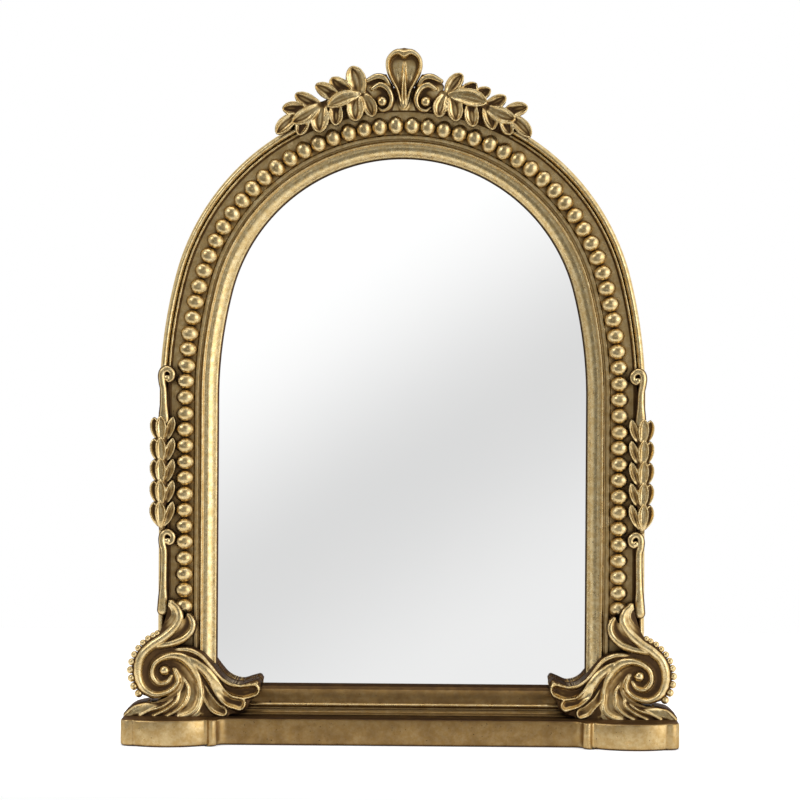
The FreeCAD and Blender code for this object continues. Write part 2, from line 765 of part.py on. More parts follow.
# Spray leaves: tip and base, each as degrees from the crown and distance out, then width
RIGHT_SPRAY = [
    (12.5, 14.7, 10.2, 3.6, 4.8),
    (16.1, 13.3, 12.6, 3.6, 4.8),
    (19.3, 11.6, 16.1, 3.6, 4.2),
    (23.0, 11.1, 19.4, 3.2, 4.4),
    (28.4, 11.1, 24.2, 3.2, 4.6),
    (19.5, 5.2, 11.0, 4.2, 5.7),
    (27.1, 3.2, 20.2, 3.2, 5.2),
    (32.5, 0.0, 25.6, 3.6, 4.6),
    (27.8, -3.6, 24.4, 3.6, 4.4),
    (23.4, -5.0, 19.2, 3.8, 4.8),
    (18.4, -7.0, 16.2, 3.6, 4.8),
    (13.6, -6.7, 11.3, 3.6, 5.2),
    (9.1, -6.5, 9.6, 3.6, 4.8),
]
LEFT_SPRAY = [
    (11.1, 17.0, 10.8, 3.2, 6.4),
    (15.8, 14.1, 12.0, 3.6, 5.7),
    (19.5, 13.6, 15.5, 3.2, 4.8),
    (24.3, 13.1, 19.8, 3.4, 4.8),
    (28.2, 10.9, 23.4, 3.6, 4.6),
    (18.5, 2.4, 10.7, 4.3, 4.8),
    (27.7, 1.8, 20.4, 4.2, 5.0),
    (32.4, 1.0, 25.6, 3.8, 4.6),
    (27.7, -4.6, 24.0, 3.6, 4.4),
    (22.5, -7.0, 19.5, 3.4, 6.1),
    (18.0, -7.0, 16.7, 3.6, 4.6),
    (12.6, -7.0, 11.1, 3.6, 5.7),
    (8.1, -6.8, 9.6, 3.6, 4.6),
]
# Width of the leaves as cast, against their veins as drawn
LEAF_FULLNESS = 1.25
# Stem of a spray: degrees from the crown, distance out
STEM_SPAN, STEM_REACH = (9.0, 26.6), (2.0, 5.2)


def crest_stem(seat):
    (start, end), (low, high) = STEM_SPAN, STEM_REACH
    middle = (start + end) / 2
    edge = Part.Wire([
        Part.Arc(*[crest_point(a, high, seat) for a in (start, middle, end)]).toShape(),
        Part.makeLine(crest_point(end, high, seat), crest_point(end, low, seat)),
        Part.Arc(*[crest_point(a, low, seat) for a in (end, middle, start)]).toShape(),
        Part.makeLine(crest_point(start, low, seat), crest_point(start, high, seat)),
    ])
    return Part.Face(edge).extrude(Vector(0, -0.68 * mm("leaf_height"), 0))


def spray(leaves):
    seat = -rim_top().value
    shapes = [crest_stem(seat)]
    full = LEAF_FULLNESS * crest_scale()
    for i, (tip, reach, base, root, width) in enumerate(leaves):
        height = mm("leaf_height") * (1.0 + 0.07 * (i % 4))
        shapes.append(leaf(crest_point(base, root, seat), crest_point(tip, reach, seat), width * full, height))
    return fuse_all(shapes)


def crest_scroll():
    """Two strands and an eye on a thin ground."""
    seat = -rim_top().value
    spots = [crest_point(a, r, seat) for a, r in CREST_SCROLL_OUTLINE]
    ground = Part.Face(Part.makePolygon(spots + spots[:1])).extrude(Vector(0, -CREST_SCROLL_GROUND, 0))
    top = seat - CREST_SCROLL_GROUND
    strands = (CREST_SCROLL_INNER, CREST_SCROLL_OUTER)
    ropes = [rope([crest_point(a, r, top) for a, r in s], CREST_SCROLL_RADII) for s in strands]
    centre = crest_point(*CREST_SCROLL_EYE, top)
    eye = Part.makeSphere(mm("crest_eye") / 2, centre, Vector(0, -1, 0), 0, 90, 360)
    return fuse_all([ground] + ropes + [eye])


# Tendrils on the stiles: steps outwards and upwards from the eye, in turns of the tendril
TENDRIL_TURN = [
    (0.55, -2.6), (0.95, 0.2), (0.6, 0.85), (-0.2, 1.0),
    (-0.85, 0.45), (-0.8, -0.45), (-0.15, -0.75), (0.15, -0.3),
]
TENDRIL_RADII = (1.0, 1.3, 1.3, 1.2, 1.0, 0.9, 0.8)


def tendril(eye_height, foot):
    """A strand that climbs the rim and curls over into its eye."""
    turn, y = mm("tendril_radius") - 1.2, -rim_top().value - 0.5
    middle = mm("half_width") - mm("rim_width") * 0.8
    points = [Vector(middle + 1.2, y, foot)]
    points += [Vector(middle + a * turn, y, eye_height + b * turn) for a, b in TENDRIL_TURN]
    eye = Part.makeSphere(turn * 0.38, Vector(middle, y, eye_height))
    return rope(points, TENDRIL_RADII, 24).fuse(eye).cut(behind(-rim_top().value))


# Laurel on the stiles
LAUREL_TIERS = 5


def laurel():
    """Tiers of three leaves that point up, each tier rooted behind the next one down."""
    middle, y = mm("half_width") - mm("rim_width") / 2, -rim_top().value + 0.7
    long, height, spread = mm("laurel_leaf"), mm("leaf_height") * 0.8, mm("laurel_spread")
    shapes = []
    for tier in range(LAUREL_TIERS):
        tip = mm("laurel_top") - tier * mm("laurel_pitch")
        for lean, thick in ((-spread, height), (spread, height), (0.0, height * 1.25)):
            low = Vector(middle, y, tip - long - 1.0)
            high = Vector(middle + lean, y, tip - abs(lean) * 0.2)
            shapes.append(leaf(low, high, long * 0.4, thick))
    top = mm("laurel_top") - long * 0.7
    foot = mm("laurel_top") - LAUREL_TIERS * mm("laurel_pitch") - 3.0
    stem = [Vector(middle, y, z) for z in (foot, (foot + top) / 2, top)]
    return fuse_all(shapes + [rope(stem, (0.8, 1.2, 0.9), 6)])


# Corner scroll, drawn from its eye outwards and upwards; a third number is the radius to the next corner
VOLUTE_OUTLINE = [
    (5.6, -12.6, 13.4), (15.2, 0.4, 16.0), (10.4, 13.2, -40.0), (1.4, 21.2, -20.0), (-1.8, 33.2),
    (-3.4, 33.0), (-6.2, 26.6), (-8.6, 20.4), (-10.6, 25.2), (-13.4, 24.6),
    (-13.2, 17.8), (-8.6, 12.4), (-11.4, 6.6), (-9.4, -4.0), (-3.2, -10.6),
]
VOLUTE_BAND = [
    (-3.0, 33.0), (-5.4, 24.6), (-2.2, 18.6), (6.2, 12.4), (11.4, 5.2), (12.8, -0.4), (11.4, -6.6),
    (7.5, -10.4), (2.3, -11.3), (-3.3, -9.0), (-6.6, -4.2), (-6.6, 0.1), (-5.0, 2.0),
]
VOLUTE_BRANCH = [(-12.4, 25.0), (-12.6, 18.6), (-7.0, 14.6), (0.2, 13.4), (6.4, 10.2)]
VOLUTE_INNER = [
    (-10.4, 7.8), (-5.4, 7.2), (1.5, 6.2), (5.3, 1.4), (4.3, -3.3), (0.5, -5.6), (-3.3, -3.3), (-3.7, -0.4),
]
VOLUTE_STRANDS = [
    (VOLUTE_BAND, (0.6, 1.3, 1.8, 2.1, 2.1, 2.0, 1.8, 1.6, 1.2, 1.0, 0.8)),
    (VOLUTE_BRANCH, (0.6, 1.3, 1.4, 1.3, 0.9)),
    (VOLUTE_INNER, (1.0, 1.3, 1.2, 1.1, 1.0, 0.8, 0.7)),
]
# Acanthus foot beside it, drawn from the same eye down to the plinth
FOOT_START, FOOT_END = -28.0, 17.6
FOOT_OUTLINE = [
    (17.8, -19.0), (15.2, -16.4), (10.8, -15.6), (4.0, -14.8), (-8.0, -8.0), (-10.6, 6.6),
    (-12.8, 11.0), (-18.8, 9.1), (-23.6, 4.0), (-32.4, -0.7), (-38.7, -2.5), (-44.8, -1.0),
    (-46.9, -2.2), (-45.4, -8.2), (-41.0, -11.9), (-39.6, -14.8), (-34.4, -17.6), (-30.2, -20.6),
]
FOOT_LOBES = [
    [(-9.0, 9.6), (-17.6, 4.6), (-24.6, -0.8), (-33.0, -8.4), (-40.4, -10.0), (-44.8, -4.4)],
    [(-16.0, 3.0), (-22.4, -2.0), (-29.6, -10.6), (-34.6, -16.0), (-39.2, -15.0)],
    [(-15.4, 0.6), (-19.6, -7.6), (-24.2, -16.4), (-29.6, -19.6)],
    [(-13.6, 2.6), (-16.8, -6.0), (-17.2, -12.0), (-14.0, -17.4), (-6.0, -20.0)],
    [(-10.8, -5.0), (-11.4, -11.2), (-6.0, -16.4), (5.4, -19.6), (15.0, -17.8)],
]
FOOT_LOBE_RADII = (0.8, 1.6, 1.9, 1.7, 1.0)
SCROLL_PEARLS = 11
# A pearl's centre stands off its seat by this share of its radius, plus a hair's gap on the curved back
PEARL_STAND, PEARL_SEAT_GAP = 0.4, 0.03


def volute_eye():
    out = mm("half_width") - mm("rim_width") * 0.8
    return Vector(out, -mm("console_front"), mm("plinth_height") + mm("volute_height"))


def console_point(spot):
    return volute_eye() + Vector(spot[0], 0, spot[1])


def console_edges(outline):
    """The outline's lines and arcs on the console's ground."""
    spots = [console_point(corner) for corner in outline]
    edges = []
    for corner, start, end in zip(outline, spots, spots[1:] + spots[:1]):
        if len(corner) < 3:
            edges.append(Part.makeLine(start, end))
            continue
        chord, radius = end - start, corner[2]
        out = Vector(chord.z, 0, -chord.x).normalize()
        rise = abs(radius) - math.sqrt(radius**2 - chord.Length**2 / 4)
        middle = (start + end) / 2 + out * math.copysign(rise, radius)
        edges.append(Part.Arc(start, middle, end).toShape())
    return edges


def console_slab(outline):
    depth = mm("console_front") + mm("console_back")
    return Part.Face(Part.Wire(console_edges(outline))).extrude(Vector(0, depth, 0))


def volute():
    strands = [rope([console_point(p) for p in line], radii, 26) for line, radii in VOLUTE_STRANDS]
    eye = Part.makeSphere(mm("volute_eye") / 2, volute_eye())
    return fuse_all([console_slab(VOLUTE_OUTLINE)] + strands + [eye])


def acanthus_foot():
    low = -mm("volute_height")
    slab = console_slab([(FOOT_START, low), (FOOT_END, low)] + FOOT_OUTLINE)
    lobes = [rope([console_point(p) for p in line], FOOT_LOBE_RADII, 14) for line in FOOT_LOBES]
    return fuse_all([slab] + lobes).cut(below(mm("plinth_height")))


def mitre_room():
    """Space over the sight moulding's corner, where the foot bears flat on the fillets and clears the mitre."""
    wall, front = mm("half_width") - mm("frame_width"), mm("slip_front") + 0.4
    across, tall = mm("slip_width") + 2.0, mm("bottom_slip_width") + 2.0
    corner = Vector(wall - across + 1.0, -front, mm("slip_foot") - 1.0)
    return Part.makeBox(across, front + mm("console_back") + 1.0, tall, corner)


def scroll_pearls():
    """Pearls seated in a row on the scroll's outer back."""
    back = Part.Wire(console_edges(VOLUTE_OUTLINE)[:3])
    radius = mm("scroll_pearl") / 2
    spots = back.discretize(SCROLL_PEARLS + 4)[2:]
    pearls = []
    for before, spot, after in zip(spots, spots[1:], spots[2:]):
        along = after - before
        out = Vector(along.z, 0, -along.x).normalize()
        centre = spot + out * (radius * PEARL_STAND + PEARL_SEAT_GAP) + Vector(0, radius * 2.8, 0)
        cut = -math.degrees(math.asin(PEARL_STAND))
        pearls.append(Part.makeSphere(radius, centre, out, cut, 90, 360))
    return Part.makeCompound(pearls)


def both_sides(label, shape):
    return [feature(f"{label}_right", shape), feature(f"{label}_left", mirrored(shape))]


def make_crest():
    backing, palmette = make_crest_backing(), make_palmette()
    doc.recompute()
    scroll = main_solid(crest_scroll())
    right = main_solid(spray(RIGHT_SPRAY).cut(scroll))
    left = main_solid(spray(LEFT_SPRAY).cut(scroll))
    sprays = [feature("crest_spray_right", right), feature("crest_spray_left", mirrored(left))]
    return [backing, palmette] + both_sides("crest_scroll", scroll) + sprays


def make_sides(frame, carriers):
    """Everything carved on the stiles, each piece cut to what it sits on."""
    scroll = main_solid(volute().cut(carriers))
    foot = main_solid(acanthus_foot().cut(carriers + [scroll, mitre_room()]))
    upper = tendril(mm("tendril_upper"), mm("laurel_top") + 1.2)
    lower = tendril(mm("tendril_lower"), mm("plinth_height") + mm("volute_height") + 26.0)
    pieces = [
        ("corner_scroll", scroll),
        ("acanthus_foot", foot),
        ("scroll_pearls", scroll_pearls()),
        ("side_tendril_upper", main_solid(upper)),
        ("side_tendril_lower", main_solid(lower.cut(scroll))),
        ("laurel_drop", main_solid(laurel().cut(frame))),
    ]
    return [item for label, shape in pieces for item in both_sides(label, shape)]


plinth = make_plinth()
felt = make_felt()
frame = make_frame()
rail = make_bottom_rail()
sight = make_sight_moulding()
bottom_slip = make_bottom_slip()
glazing = make_glazing()
buttons = [make_button(i, spot) for i, spot in enumerate(button_spots(), 1)]
screws = make_screws()
pearls = make_pearls()
doc.recompute()
carriers = [item.Shape for item in (frame, sight, rail, bottom_slip)]
ornaments = make_crest() + make_sides(frame.Shape, carriers)
doc.recompute()

subparts = [plinth, felt, frame, rail, sight, bottom_slip, pearls]
subparts += glazing + buttons + screws + ornaments
for item in doc.Objects:
    if "Invalid" in item.State or "Error" in item.State:
        raise RuntimeError(f"{item.Label} did not build: {item.State}")
for item in subparts:
    if item.Shape.isNull() or not item.Shape.isValid():
        raise RuntimeError(f"{item.Label} has no valid shape")

os.makedirs("parts", exist_ok=True)
for item in subparts:
    item.Shape.exportStep(os.path.join("parts", f"{item.Label}.step"))
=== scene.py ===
import math

import bmesh
import bpy
import numpy as np
from mathutils import Matrix, Vector


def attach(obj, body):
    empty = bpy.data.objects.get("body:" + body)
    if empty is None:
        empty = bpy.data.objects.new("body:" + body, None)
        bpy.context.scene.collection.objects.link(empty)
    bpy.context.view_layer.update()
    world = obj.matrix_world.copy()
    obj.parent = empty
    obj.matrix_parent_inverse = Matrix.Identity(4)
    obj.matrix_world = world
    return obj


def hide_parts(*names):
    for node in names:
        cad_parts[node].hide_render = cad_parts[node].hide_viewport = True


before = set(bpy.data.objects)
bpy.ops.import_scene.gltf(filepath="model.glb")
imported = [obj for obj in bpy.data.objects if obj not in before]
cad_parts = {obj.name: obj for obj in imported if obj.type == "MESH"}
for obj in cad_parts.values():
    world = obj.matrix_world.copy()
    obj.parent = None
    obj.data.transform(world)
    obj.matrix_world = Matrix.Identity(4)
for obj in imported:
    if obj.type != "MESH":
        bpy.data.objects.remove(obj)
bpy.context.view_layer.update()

# Arched table mirror in antique gold. Sizes are in millimetres until a mesh is made.
MM = 0.001
BODY = "mirror"
SIDES = (("left", -1), ("right", 1))
FORWARD = (0.0, -1.0)
rng = np.random.default_rng(7)

# Arch on its outer wall: half width, height of the springing, crown radius and centre
HALF_WIDTH, SPRING, CROWN_RADIUS, CROWN_CENTRE = 114.8, 161.8, 111.0, 192.2
CROWN_RISE = CROWN_CENTRE - SPRING
FLANK_RADIUS = (HALF_WIDTH**2 + CROWN_RISE**2 - CROWN_RADIUS**2) / (2 * (HALF_WIDTH - CROWN_RADIUS))
FLANK_TURN = math.atan2(CROWN_RISE, FLANK_RADIUS - HALF_WIDTH)
CROWN_TOP = CROWN_CENTRE + CROWN_RADIUS
# Plinth: half width, front between the pedestals, back and top
PLINTH_HALF, PLINTH_FRONT, PLINTH_BACK, PLINTH_TOP = 130.1, -24.0, 22.0, 12.5
# Frame, sight moulding and glass
FRAME_WIDTH, FRAME_BACK = 18.4, 12.0
SLIP_WIDTH, SLIP_FOOT, SLIP_TALL, SLIP_FRONT, GLASS_FRONT = 9.1, 14.9, 11.3, 5.6, 3.0
# Distances in metres below which points and edges are merged
MERGE_POINTS, MERGE_EDGES = 2e-6, 1e-6


# Curves and meshes
def smooth_path(points, spacing, steps=24):
    """Even points of a smooth curve through the given ones, and their shares of its length."""
    p = np.array(points, float)
    p = np.vstack([2 * p[0] - p[1], p, 2 * p[-1] - p[-2]])
    t = np.linspace(0, 1, steps, endpoint=False)[:, None]
    runs = []
    for a, b, c, d in zip(p, p[1:], p[2:], p[3:]):
        runs.append(0.5 * (2 * b + (c - a) * t + (2 * a - 5 * b + 4 * c - d) * t**2
                           + (3 * b - a - 3 * c + d) * t**3))
    line = np.vstack(runs + [p[-2:-1]])
    reach = np.concatenate([[0], np.cumsum(np.linalg.norm(np.diff(line, axis=0), axis=1))])
    count = max(int(reach[-1] / spacing), 2) + 1
    even = np.linspace(0, reach[-1], count)
    return np.column_stack([np.interp(even, reach, axis) for axis in line.T]), even / reach[-1]


def along(values, share):
    """Values spread evenly over a curve, read at these shares of its length."""
    values = np.atleast_1d(np.array(values, float))
    return np.interp(share, np.linspace(0, 1, len(values)), values)


def ease(values, start, end):
    """0 at start and before, 1 at end and beyond."""
    return np.clip((values - start) / (end - start), 0, 1)


def add_object(name, data):
    thing = bpy.data.objects.new(name, data)
    bpy.context.scene.collection.objects.link(thing)
    return thing


def add_piece(name, verts, faces, material, replaces, hollow=None):
    """A smooth-shaded piece on the mirror: points in millimetres, hollow the dark glaze at each."""
    mesh = bpy.data.meshes.new(name)
    mesh.from_pydata((np.asarray(verts) * MM).tolist(), [], [tuple(f) for f in faces])
    if hollow is not None:
        mesh.attributes.new("hollow", "FLOAT", "POINT").data.foreach_set("value", hollow)
    work = bmesh.new()
    work.from_mesh(mesh)
    bmesh.ops.remove_doubles(work, verts=work.verts, dist=MERGE_POINTS)
    bmesh.ops.dissolve_degenerate(work, edges=work.edges, dist=MERGE_EDGES)
    bmesh.ops.recalc_face_normals(work, faces=work.faces)
    work.to_mesh(mesh)
    work.free()
    mesh.polygons.foreach_set("use_smooth", [True] * len(mesh.polygons))
    mesh.materials.append(material)
    piece = add_object(name, mesh)
    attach(piece, BODY)
    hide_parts(*replaces)
    return piece


def sharpen(piece, degrees):
    """Edges steeper than this stay sharp."""
    piece.data.set_sharp_from_angle(angle=math.radians(degrees))


def tube_faces(rows, columns):
    """Faces of a closed section swept along rows, with both ends filled."""
    node = np.arange(rows * columns).reshape(rows, columns)
    beside = np.roll(node, -1, 1)
    sides = np.stack([node[:-1], beside[:-1], beside[1:], node[1:]], -1).reshape(-1, 4)
    return [*sides.tolist(), node[0, ::-1].tolist(), node[-1].tolist()]


def rounded(section, radius, steps=4):
    """The closed section with each corner eased by a small round."""
    spots = np.array(section, float)
    out = []
    for before, spot, after in zip(np.roll(spots, 1, 0), spots, np.roll(spots, -1, 0)):
        arms = [before - spot, after - spot]
        lengths = [np.linalg.norm(a) for a in arms]
        cut = min(radius, 0.45 * lengths[0], 0.45 * lengths[1])
        ends = [spot + a / n * cut for a, n in zip(arms, lengths)]
        for t in np.linspace(0, 1, steps):
            out.append((1 - t)**2 * ends[0] + 2 * t * (1 - t) * spot + t**2 * ends[1])
    return np.array(out)


def bowed(start, end, rise, steps, way=None):
    """Points of a shallow arc between two corners, rising along way or else to the chord's right."""
    a, b = np.array(start, float), np.array(end, float)
    t = np.linspace(0, 1, steps)[:, None]
    chord = b - a
    if way is None:
        way = np.array([chord[1], -chord[0]]) / np.linalg.norm(chord)
    return list(a + chord * t + np.array(way) * rise * 4 * t * (1 - t))


def mirrored(side):
    """Maps a face carved for the right to X and Z on the given side."""
    return lambda u, v: (side * u, v)


# Arch line
def arch_half(inset=0.0):
    """Length from the springing to the crown, this far inside the outer wall."""
    return FLANK_TURN * (FLANK_RADIUS - inset) + (math.pi / 2 - FLANK_TURN) * (CROWN_RADIUS - inset)


def arch_spot(length, inset=0.0):
    """Point and outward direction this far up from the right springing, inside the wall by inset."""
    flank, crown = FLANK_RADIUS - inset, CROWN_RADIUS - inset
    if length <= 0:
        return (HALF_WIDTH - inset, SPRING + length), (1.0, 0.0)
    if length < FLANK_TURN * flank:
        angle, radius, middle = length / flank, flank, (HALF_WIDTH - FLANK_RADIUS, SPRING)
    else:
        angle = FLANK_TURN + (length - FLANK_TURN * flank) / crown
        radius, middle = crown, (0.0, CROWN_CENTRE)
    out = (math.cos(angle), math.sin(angle))
    return (middle[0] + radius * out[0], middle[1] + radius * out[1]), out


def arch_line(foot, step):
    """Points and outward directions of the outer wall from the right foot round to the left."""
    lengths = np.linspace(foot - SPRING, arch_half(), int((arch_half() + SPRING - foot) / step) + 1)
    right = [arch_spot(s) for s in lengths]
    spots = np.array([p for p, _ in right])
    outs = np.array([o for _, o in right])
    flip = np.array([-1.0, 1.0])
    return np.vstack([spots, spots[-2::-1] * flip]), np.vstack([outs, outs[-2::-1] * flip])


# Sweeps: step along the arch and rows across, their wander, and the glaze where none is given
ARCH_STEP, RAIL_ROWS = 2.4, 81
ARCH_WANDER, RAIL_WANDER, WAVES, WAVE_SHARE = 0.1, 0.08, 5, 0.3221
PLAIN_GLAZE = 0.15
# Height of the upper tendrils, below which the frame's bead and channel are darker
STILE_TOP = 172.0


def waver(values, seed, size):
    """A slow, even wander that makes cast mouldings look hand finished."""
    phases = np.random.default_rng(seed).uniform(0, 6.28, WAVES)
    waves = [np.sin(values / (9.0 + 7.0 * i) + p) for i, p in enumerate(phases)]
    return WAVE_SHARE * size * np.sum(waves, 0)


def section_glaze(section, glaze):
    """Share of dark glaze at each section point, from stretches of (from, to, share) across it."""
    share = np.full(len(section), PLAIN_GLAZE)
    for start, end, value in glaze:
        share[(section[:, 0] >= start) & (section[:, 0] <= end)] = value
    return share


def sweep_arch(name, section, replaces, glaze, foot=PLINTH_TOP, mitre=0.0, stile_glaze=()):
    """A moulding that follows the arch; section holds (inward, Y), mitre raises the foot inwards."""
    spots, outs = arch_line(foot + mitre * SLIP_WIDTH, ARCH_STEP)
    rows, columns = len(spots), len(section)
    inward, depth = section[:, 0], section[:, 1]
    x = spots[:, :1] - outs[:, :1] * inward
    z = spots[:, 1:] - outs[:, 1:] * inward
    wander = waver(np.arange(rows) * ARCH_STEP, len(name), ARCH_WANDER)[:, None]
    y = depth + np.where(depth < 0, wander, 0.0)
    for row in (0, rows - 1):
        z[row] = foot + mitre * (inward - inward.min())
    verts = np.stack([x, y, z], -1).reshape(-1, 3)
    shares = np.tile(section_glaze(section, glaze), (rows, 1))
    shares[spots[:, 1] < STILE_TOP] = section_glaze(section, (*glaze, *stile_glaze))
    return add_piece(name, verts, tube_faces(rows, columns), gold_carved, replaces, shares.reshape(-1))


def extrude_across(name, section, half, replaces, glaze, mitre=0.0):
    """A moulding along X; section holds (up, Y), mitre shortens it upwards."""
    up, depth = section[:, 0], section[:, 1]
    verts = []
    for share in np.linspace(-1, 1, RAIL_ROWS):
        ends = (half - mitre * (up - up.min())) * share
        y = depth + waver(np.array([share * half]), len(name), RAIL_WANDER) * (depth < 0)
        verts.append(np.column_stack([ends, y, up]))
    shares = np.tile(section_glaze(section, glaze), RAIL_ROWS)
    faces = tube_faces(RAIL_ROWS, len(section))
    return add_piece(name, np.vstack(verts), faces, gold_carved, replaces, shares)


# Carving: heights on a grid, raised stroke by stroke
OUTSIDE, FAR, FLAT = -9.0, 1e9, 1e-9
STROKE_STEP, STROKE_LEAST, STROKE_BLEED = 0.3, 0.05, 0.8
DISH_POWER, VEIN_SHARE = 2.4, 0.16
# A strand's slope beside its ridge, as shares of the ridge's width and height
SKIRT_WIDTH, SKIRT_HEIGHT = 2.1, 0.62
# Painted shade and patina: share of its reach where it is full, and the heights from which it is full and
# gone
SHADE_PATINA_CORE, SHADE_PATINA_FULL, SHADE_PATINA_GONE = 0.375, 1.4, 2.4
SWELL_REACH = 3.0
# Hollows at two scales: reach of the surroundings, depth that counts as full, and its start
HOLLOW_SCALES = ((1.6, 1.05, 0.4), (3.2, 1.5, 0.3))
SOFTENING, EDGE_SLOPE, EDGE_REACH, EDGE_KEEP = 0.22, 0.2, 0.9, 0.7
BACK_GLAZE = 0.7


def strand_shape(s, gouge, vein, rim, floor, keen):
    """Height across a strand at a share s of its half width, from round or keen to gouged."""
    crown = np.sqrt(1 - s**2) * (1 - keen) + (1 - s) * keen
    lip = np.sqrt(np.clip(1 - ((s - rim) / (1 - rim))**2, 0, 1))
    dish = np.where(s < rim, floor + (1 - floor) * (s / rim)**DISH_POWER, lip)
    dish = dish + vein * np.exp(-(s / VEIN_SHARE)**2)
    return crown + (dish - crown) * gouge


class Relief:
    """A carved face: how far each spot stands forward, and how far it lies inside the outline."""

    def __init__(self, low, high, pitch=0.3):
        self.pitch = pitch
        across = np.arange(low[0], high[0] + pitch, pitch)
        upward = np.arange(low[1], high[1] + pitch, pitch)
        self.u, self.v = np.meshgrid(across, upward)
        self.height = np.zeros_like(self.u)
        self.cover = np.full_like(self.u, OUTSIDE)
        self.dark = np.zeros_like(self.u)

    def window(self, path, reach):
        low, high = path.min(0) - reach, path.max(0) + reach
        first = np.array([self.u[0, 0], self.v[0, 0]])
        a = np.maximum(((low - first) / self.pitch).astype(int), 0)
        b = np.maximum(((high - first) / self.pitch).astype(int) + 2, 0)
        return slice(a[1], b[1]), slice(a[0], b[0])

    def nearest(self, path, half, part):
        """Each spot's distance from the path as a share of the half width, and the path's nearest point."""
        u, v = self.u[part], self.v[part]
        ratio = np.full(u.shape, FAR)
        at = np.zeros(u.shape, int)
        for i, (spot, w) in enumerate(zip(path, half)):
            r = np.hypot(u - spot[0], v - spot[1]) / max(w, STROKE_LEAST)
            nearer = r < ratio
            ratio[nearer], at[nearer] = r[nearer], i
        return ratio, at

    def stroke(self, points, widths, heights, base=0.0, hollow=0.0, vein=0.0, rim=0.8, floor=0.25, keen=0.0,
               spread=True, over=False):
        """Raises a strand along a curve: round where hollow is 0, a gouged lobe with raised rims where 1.

        A keen strand slopes straight down to both sides. One that doesn't spread leaves the outline alone,
        and one that lies over others hides what is below it.
        """
        path, share = smooth_path(points, STROKE_STEP)
        half, tall, low, gouge = (along(values, share) for values in (widths, heights, base, hollow))
        part = self.window(path, half.max() + 1.0)
        ratio, at = self.nearest(path, half, part)
        shape = strand_shape(np.minimum(ratio, 1.0), gouge[at], vein, rim, floor, keen)
        rise = low[at] + tall[at] * shape
        near = ratio * half[at] < half[at] + STROKE_BLEED
        top = np.where((ratio < 1) & over, rise, np.maximum(self.height[part], rise))
        self.height[part] = np.where(near, top, self.height[part])
        if spread:
            self.cover[part] = np.maximum(self.cover[part], (1 - ratio) * half[at])

    def strand(self, points, widths, heights, base=0.0):
        """A round ridge on a broader slope."""
        slope_widths, slope_heights = np.array(widths) * SKIRT_WIDTH, np.array(heights) * SKIRT_HEIGHT
        self.stroke(points, slope_widths, slope_heights, base, keen=1.0, spread=False)
        self.stroke(points, widths, heights, base)

    def distance(self, centre):
        return np.hypot(self.u - centre[0], self.v - centre[1])

    def dome(self, centre, radius, base):
        far = self.distance(centre)
        rise = base + np.sqrt(np.clip(radius**2 - far**2, 0, None))
        self.height = np.where(far < radius, np.maximum(self.height, rise), self.height)
        self.cover = np.maximum(self.cover, radius - far)

    def shade_and_patina(self, centre, radius):
        """Leaves painted shade and dark glaze round a spot, below the strands that cross it."""
        self.dark = np.maximum(self.dark, ease(self.distance(centre), radius, SHADE_PATINA_CORE * radius))

    def ground(self, outline, low, swell):
        """Fills an outline up to low at its edge and swells by swell towards its middle."""
        ring = np.array(outline, float)
        inside = np.zeros(self.u.shape, bool)
        far = np.full(self.u.shape, FAR)
        for a, b in zip(ring, np.roll(ring, -1, 0)):
            edge = b - a
            t = np.clip(((self.u - a[0]) * edge[0] + (self.v - a[1]) * edge[1]) / (edge @ edge), 0, 1)
            far = np.minimum(far, self.distance((a[0] + t * edge[0], a[1] + t * edge[1])))
            crosses = (a[1] > self.v) != (b[1] > self.v)
            slope = (self.v - a[1]) / (edge[1] or FLAT)
            inside ^= crosses & (self.u < a[0] + edge[0] * slope)
        depth = np.where(inside, far, -far)
        rise = low + swell * (1 - np.exp(-np.maximum(depth, 0) / SWELL_REACH))
        self.height = np.where(depth > -self.pitch, np.maximum(self.height, rise), self.height)
        self.cover = np.maximum(self.cover, depth)

    def blurred(self, field, reach):
        steps = min(int(3 * reach / self.pitch) + 1, (min(field.shape) - 1) // 2)
        taps = np.exp(-0.5 * (np.arange(-steps, steps + 1) * self.pitch / reach)**2)
        taps /= taps.sum()
        for axis in (0, 1):
            field = np.apply_along_axis(lambda line: np.convolve(line, taps, "same"), axis, field)
        return field

    def hollows(self):
        """How deep each spot lies below its surroundings or in painted shade and glaze, from 0 to 1."""
        mask = (self.cover > 0).astype(float)
        deep = self.dark * ease(self.height, SHADE_PATINA_GONE, SHADE_PATINA_FULL)
        for reach, span, start in HOLLOW_SCALES:
            weight = np.maximum(self.blurred(mask, reach), 1e-3)
            around = self.blurred(self.height * mask, reach) / weight
            deep = np.maximum(deep, (around - self.height) / span + start)
        return np.clip(deep, 0, 1)

    def eased(self):
        """Grid spots, with those beside the outline moved onto it."""
        gv, gu = np.gradient(self.cover, self.pitch)
        slope = np.maximum(gu**2 + gv**2, EDGE_SLOPE)
        move = np.where(np.abs(self.cover) < self.pitch, -self.cover / slope, 0)
        limit = EDGE_REACH * self.pitch
        return self.u + np.clip(move * gu, -limit, limit), self.v + np.clip(move * gv, -limit, limit)

    def piece(self, name, place, seat, skirt, replaces, shade=1.0, bend=None):
        """Makes the solid between the carved face and the flat seat; place maps the grid to X and Z."""
        self.height = np.where(self.cover > 0, self.blurred(self.height, SOFTENING), self.height)
        u, v = self.eased()
        ok = self.cover > -EDGE_KEEP * self.pitch
        used = ok[:-1, :-1] & ok[1:, :-1] & ok[:-1, 1:] & ok[1:, 1:]
        x, z = place(u, v)
        lean = bend(v) if bend else 0.0
        front = np.stack([x, seat - skirt - self.height - lean, z], -1)
        back = np.stack([x, np.full_like(u, seat), z], -1)
        verts, faces, nodes = grid_solid(front, back, used)
        deep = shade * self.hollows().reshape(-1)[nodes]
        glaze = np.concatenate([deep, np.full(len(deep), BACK_GLAZE)])
        return add_piece(name, verts, faces, gold_carved, replaces, glaze)


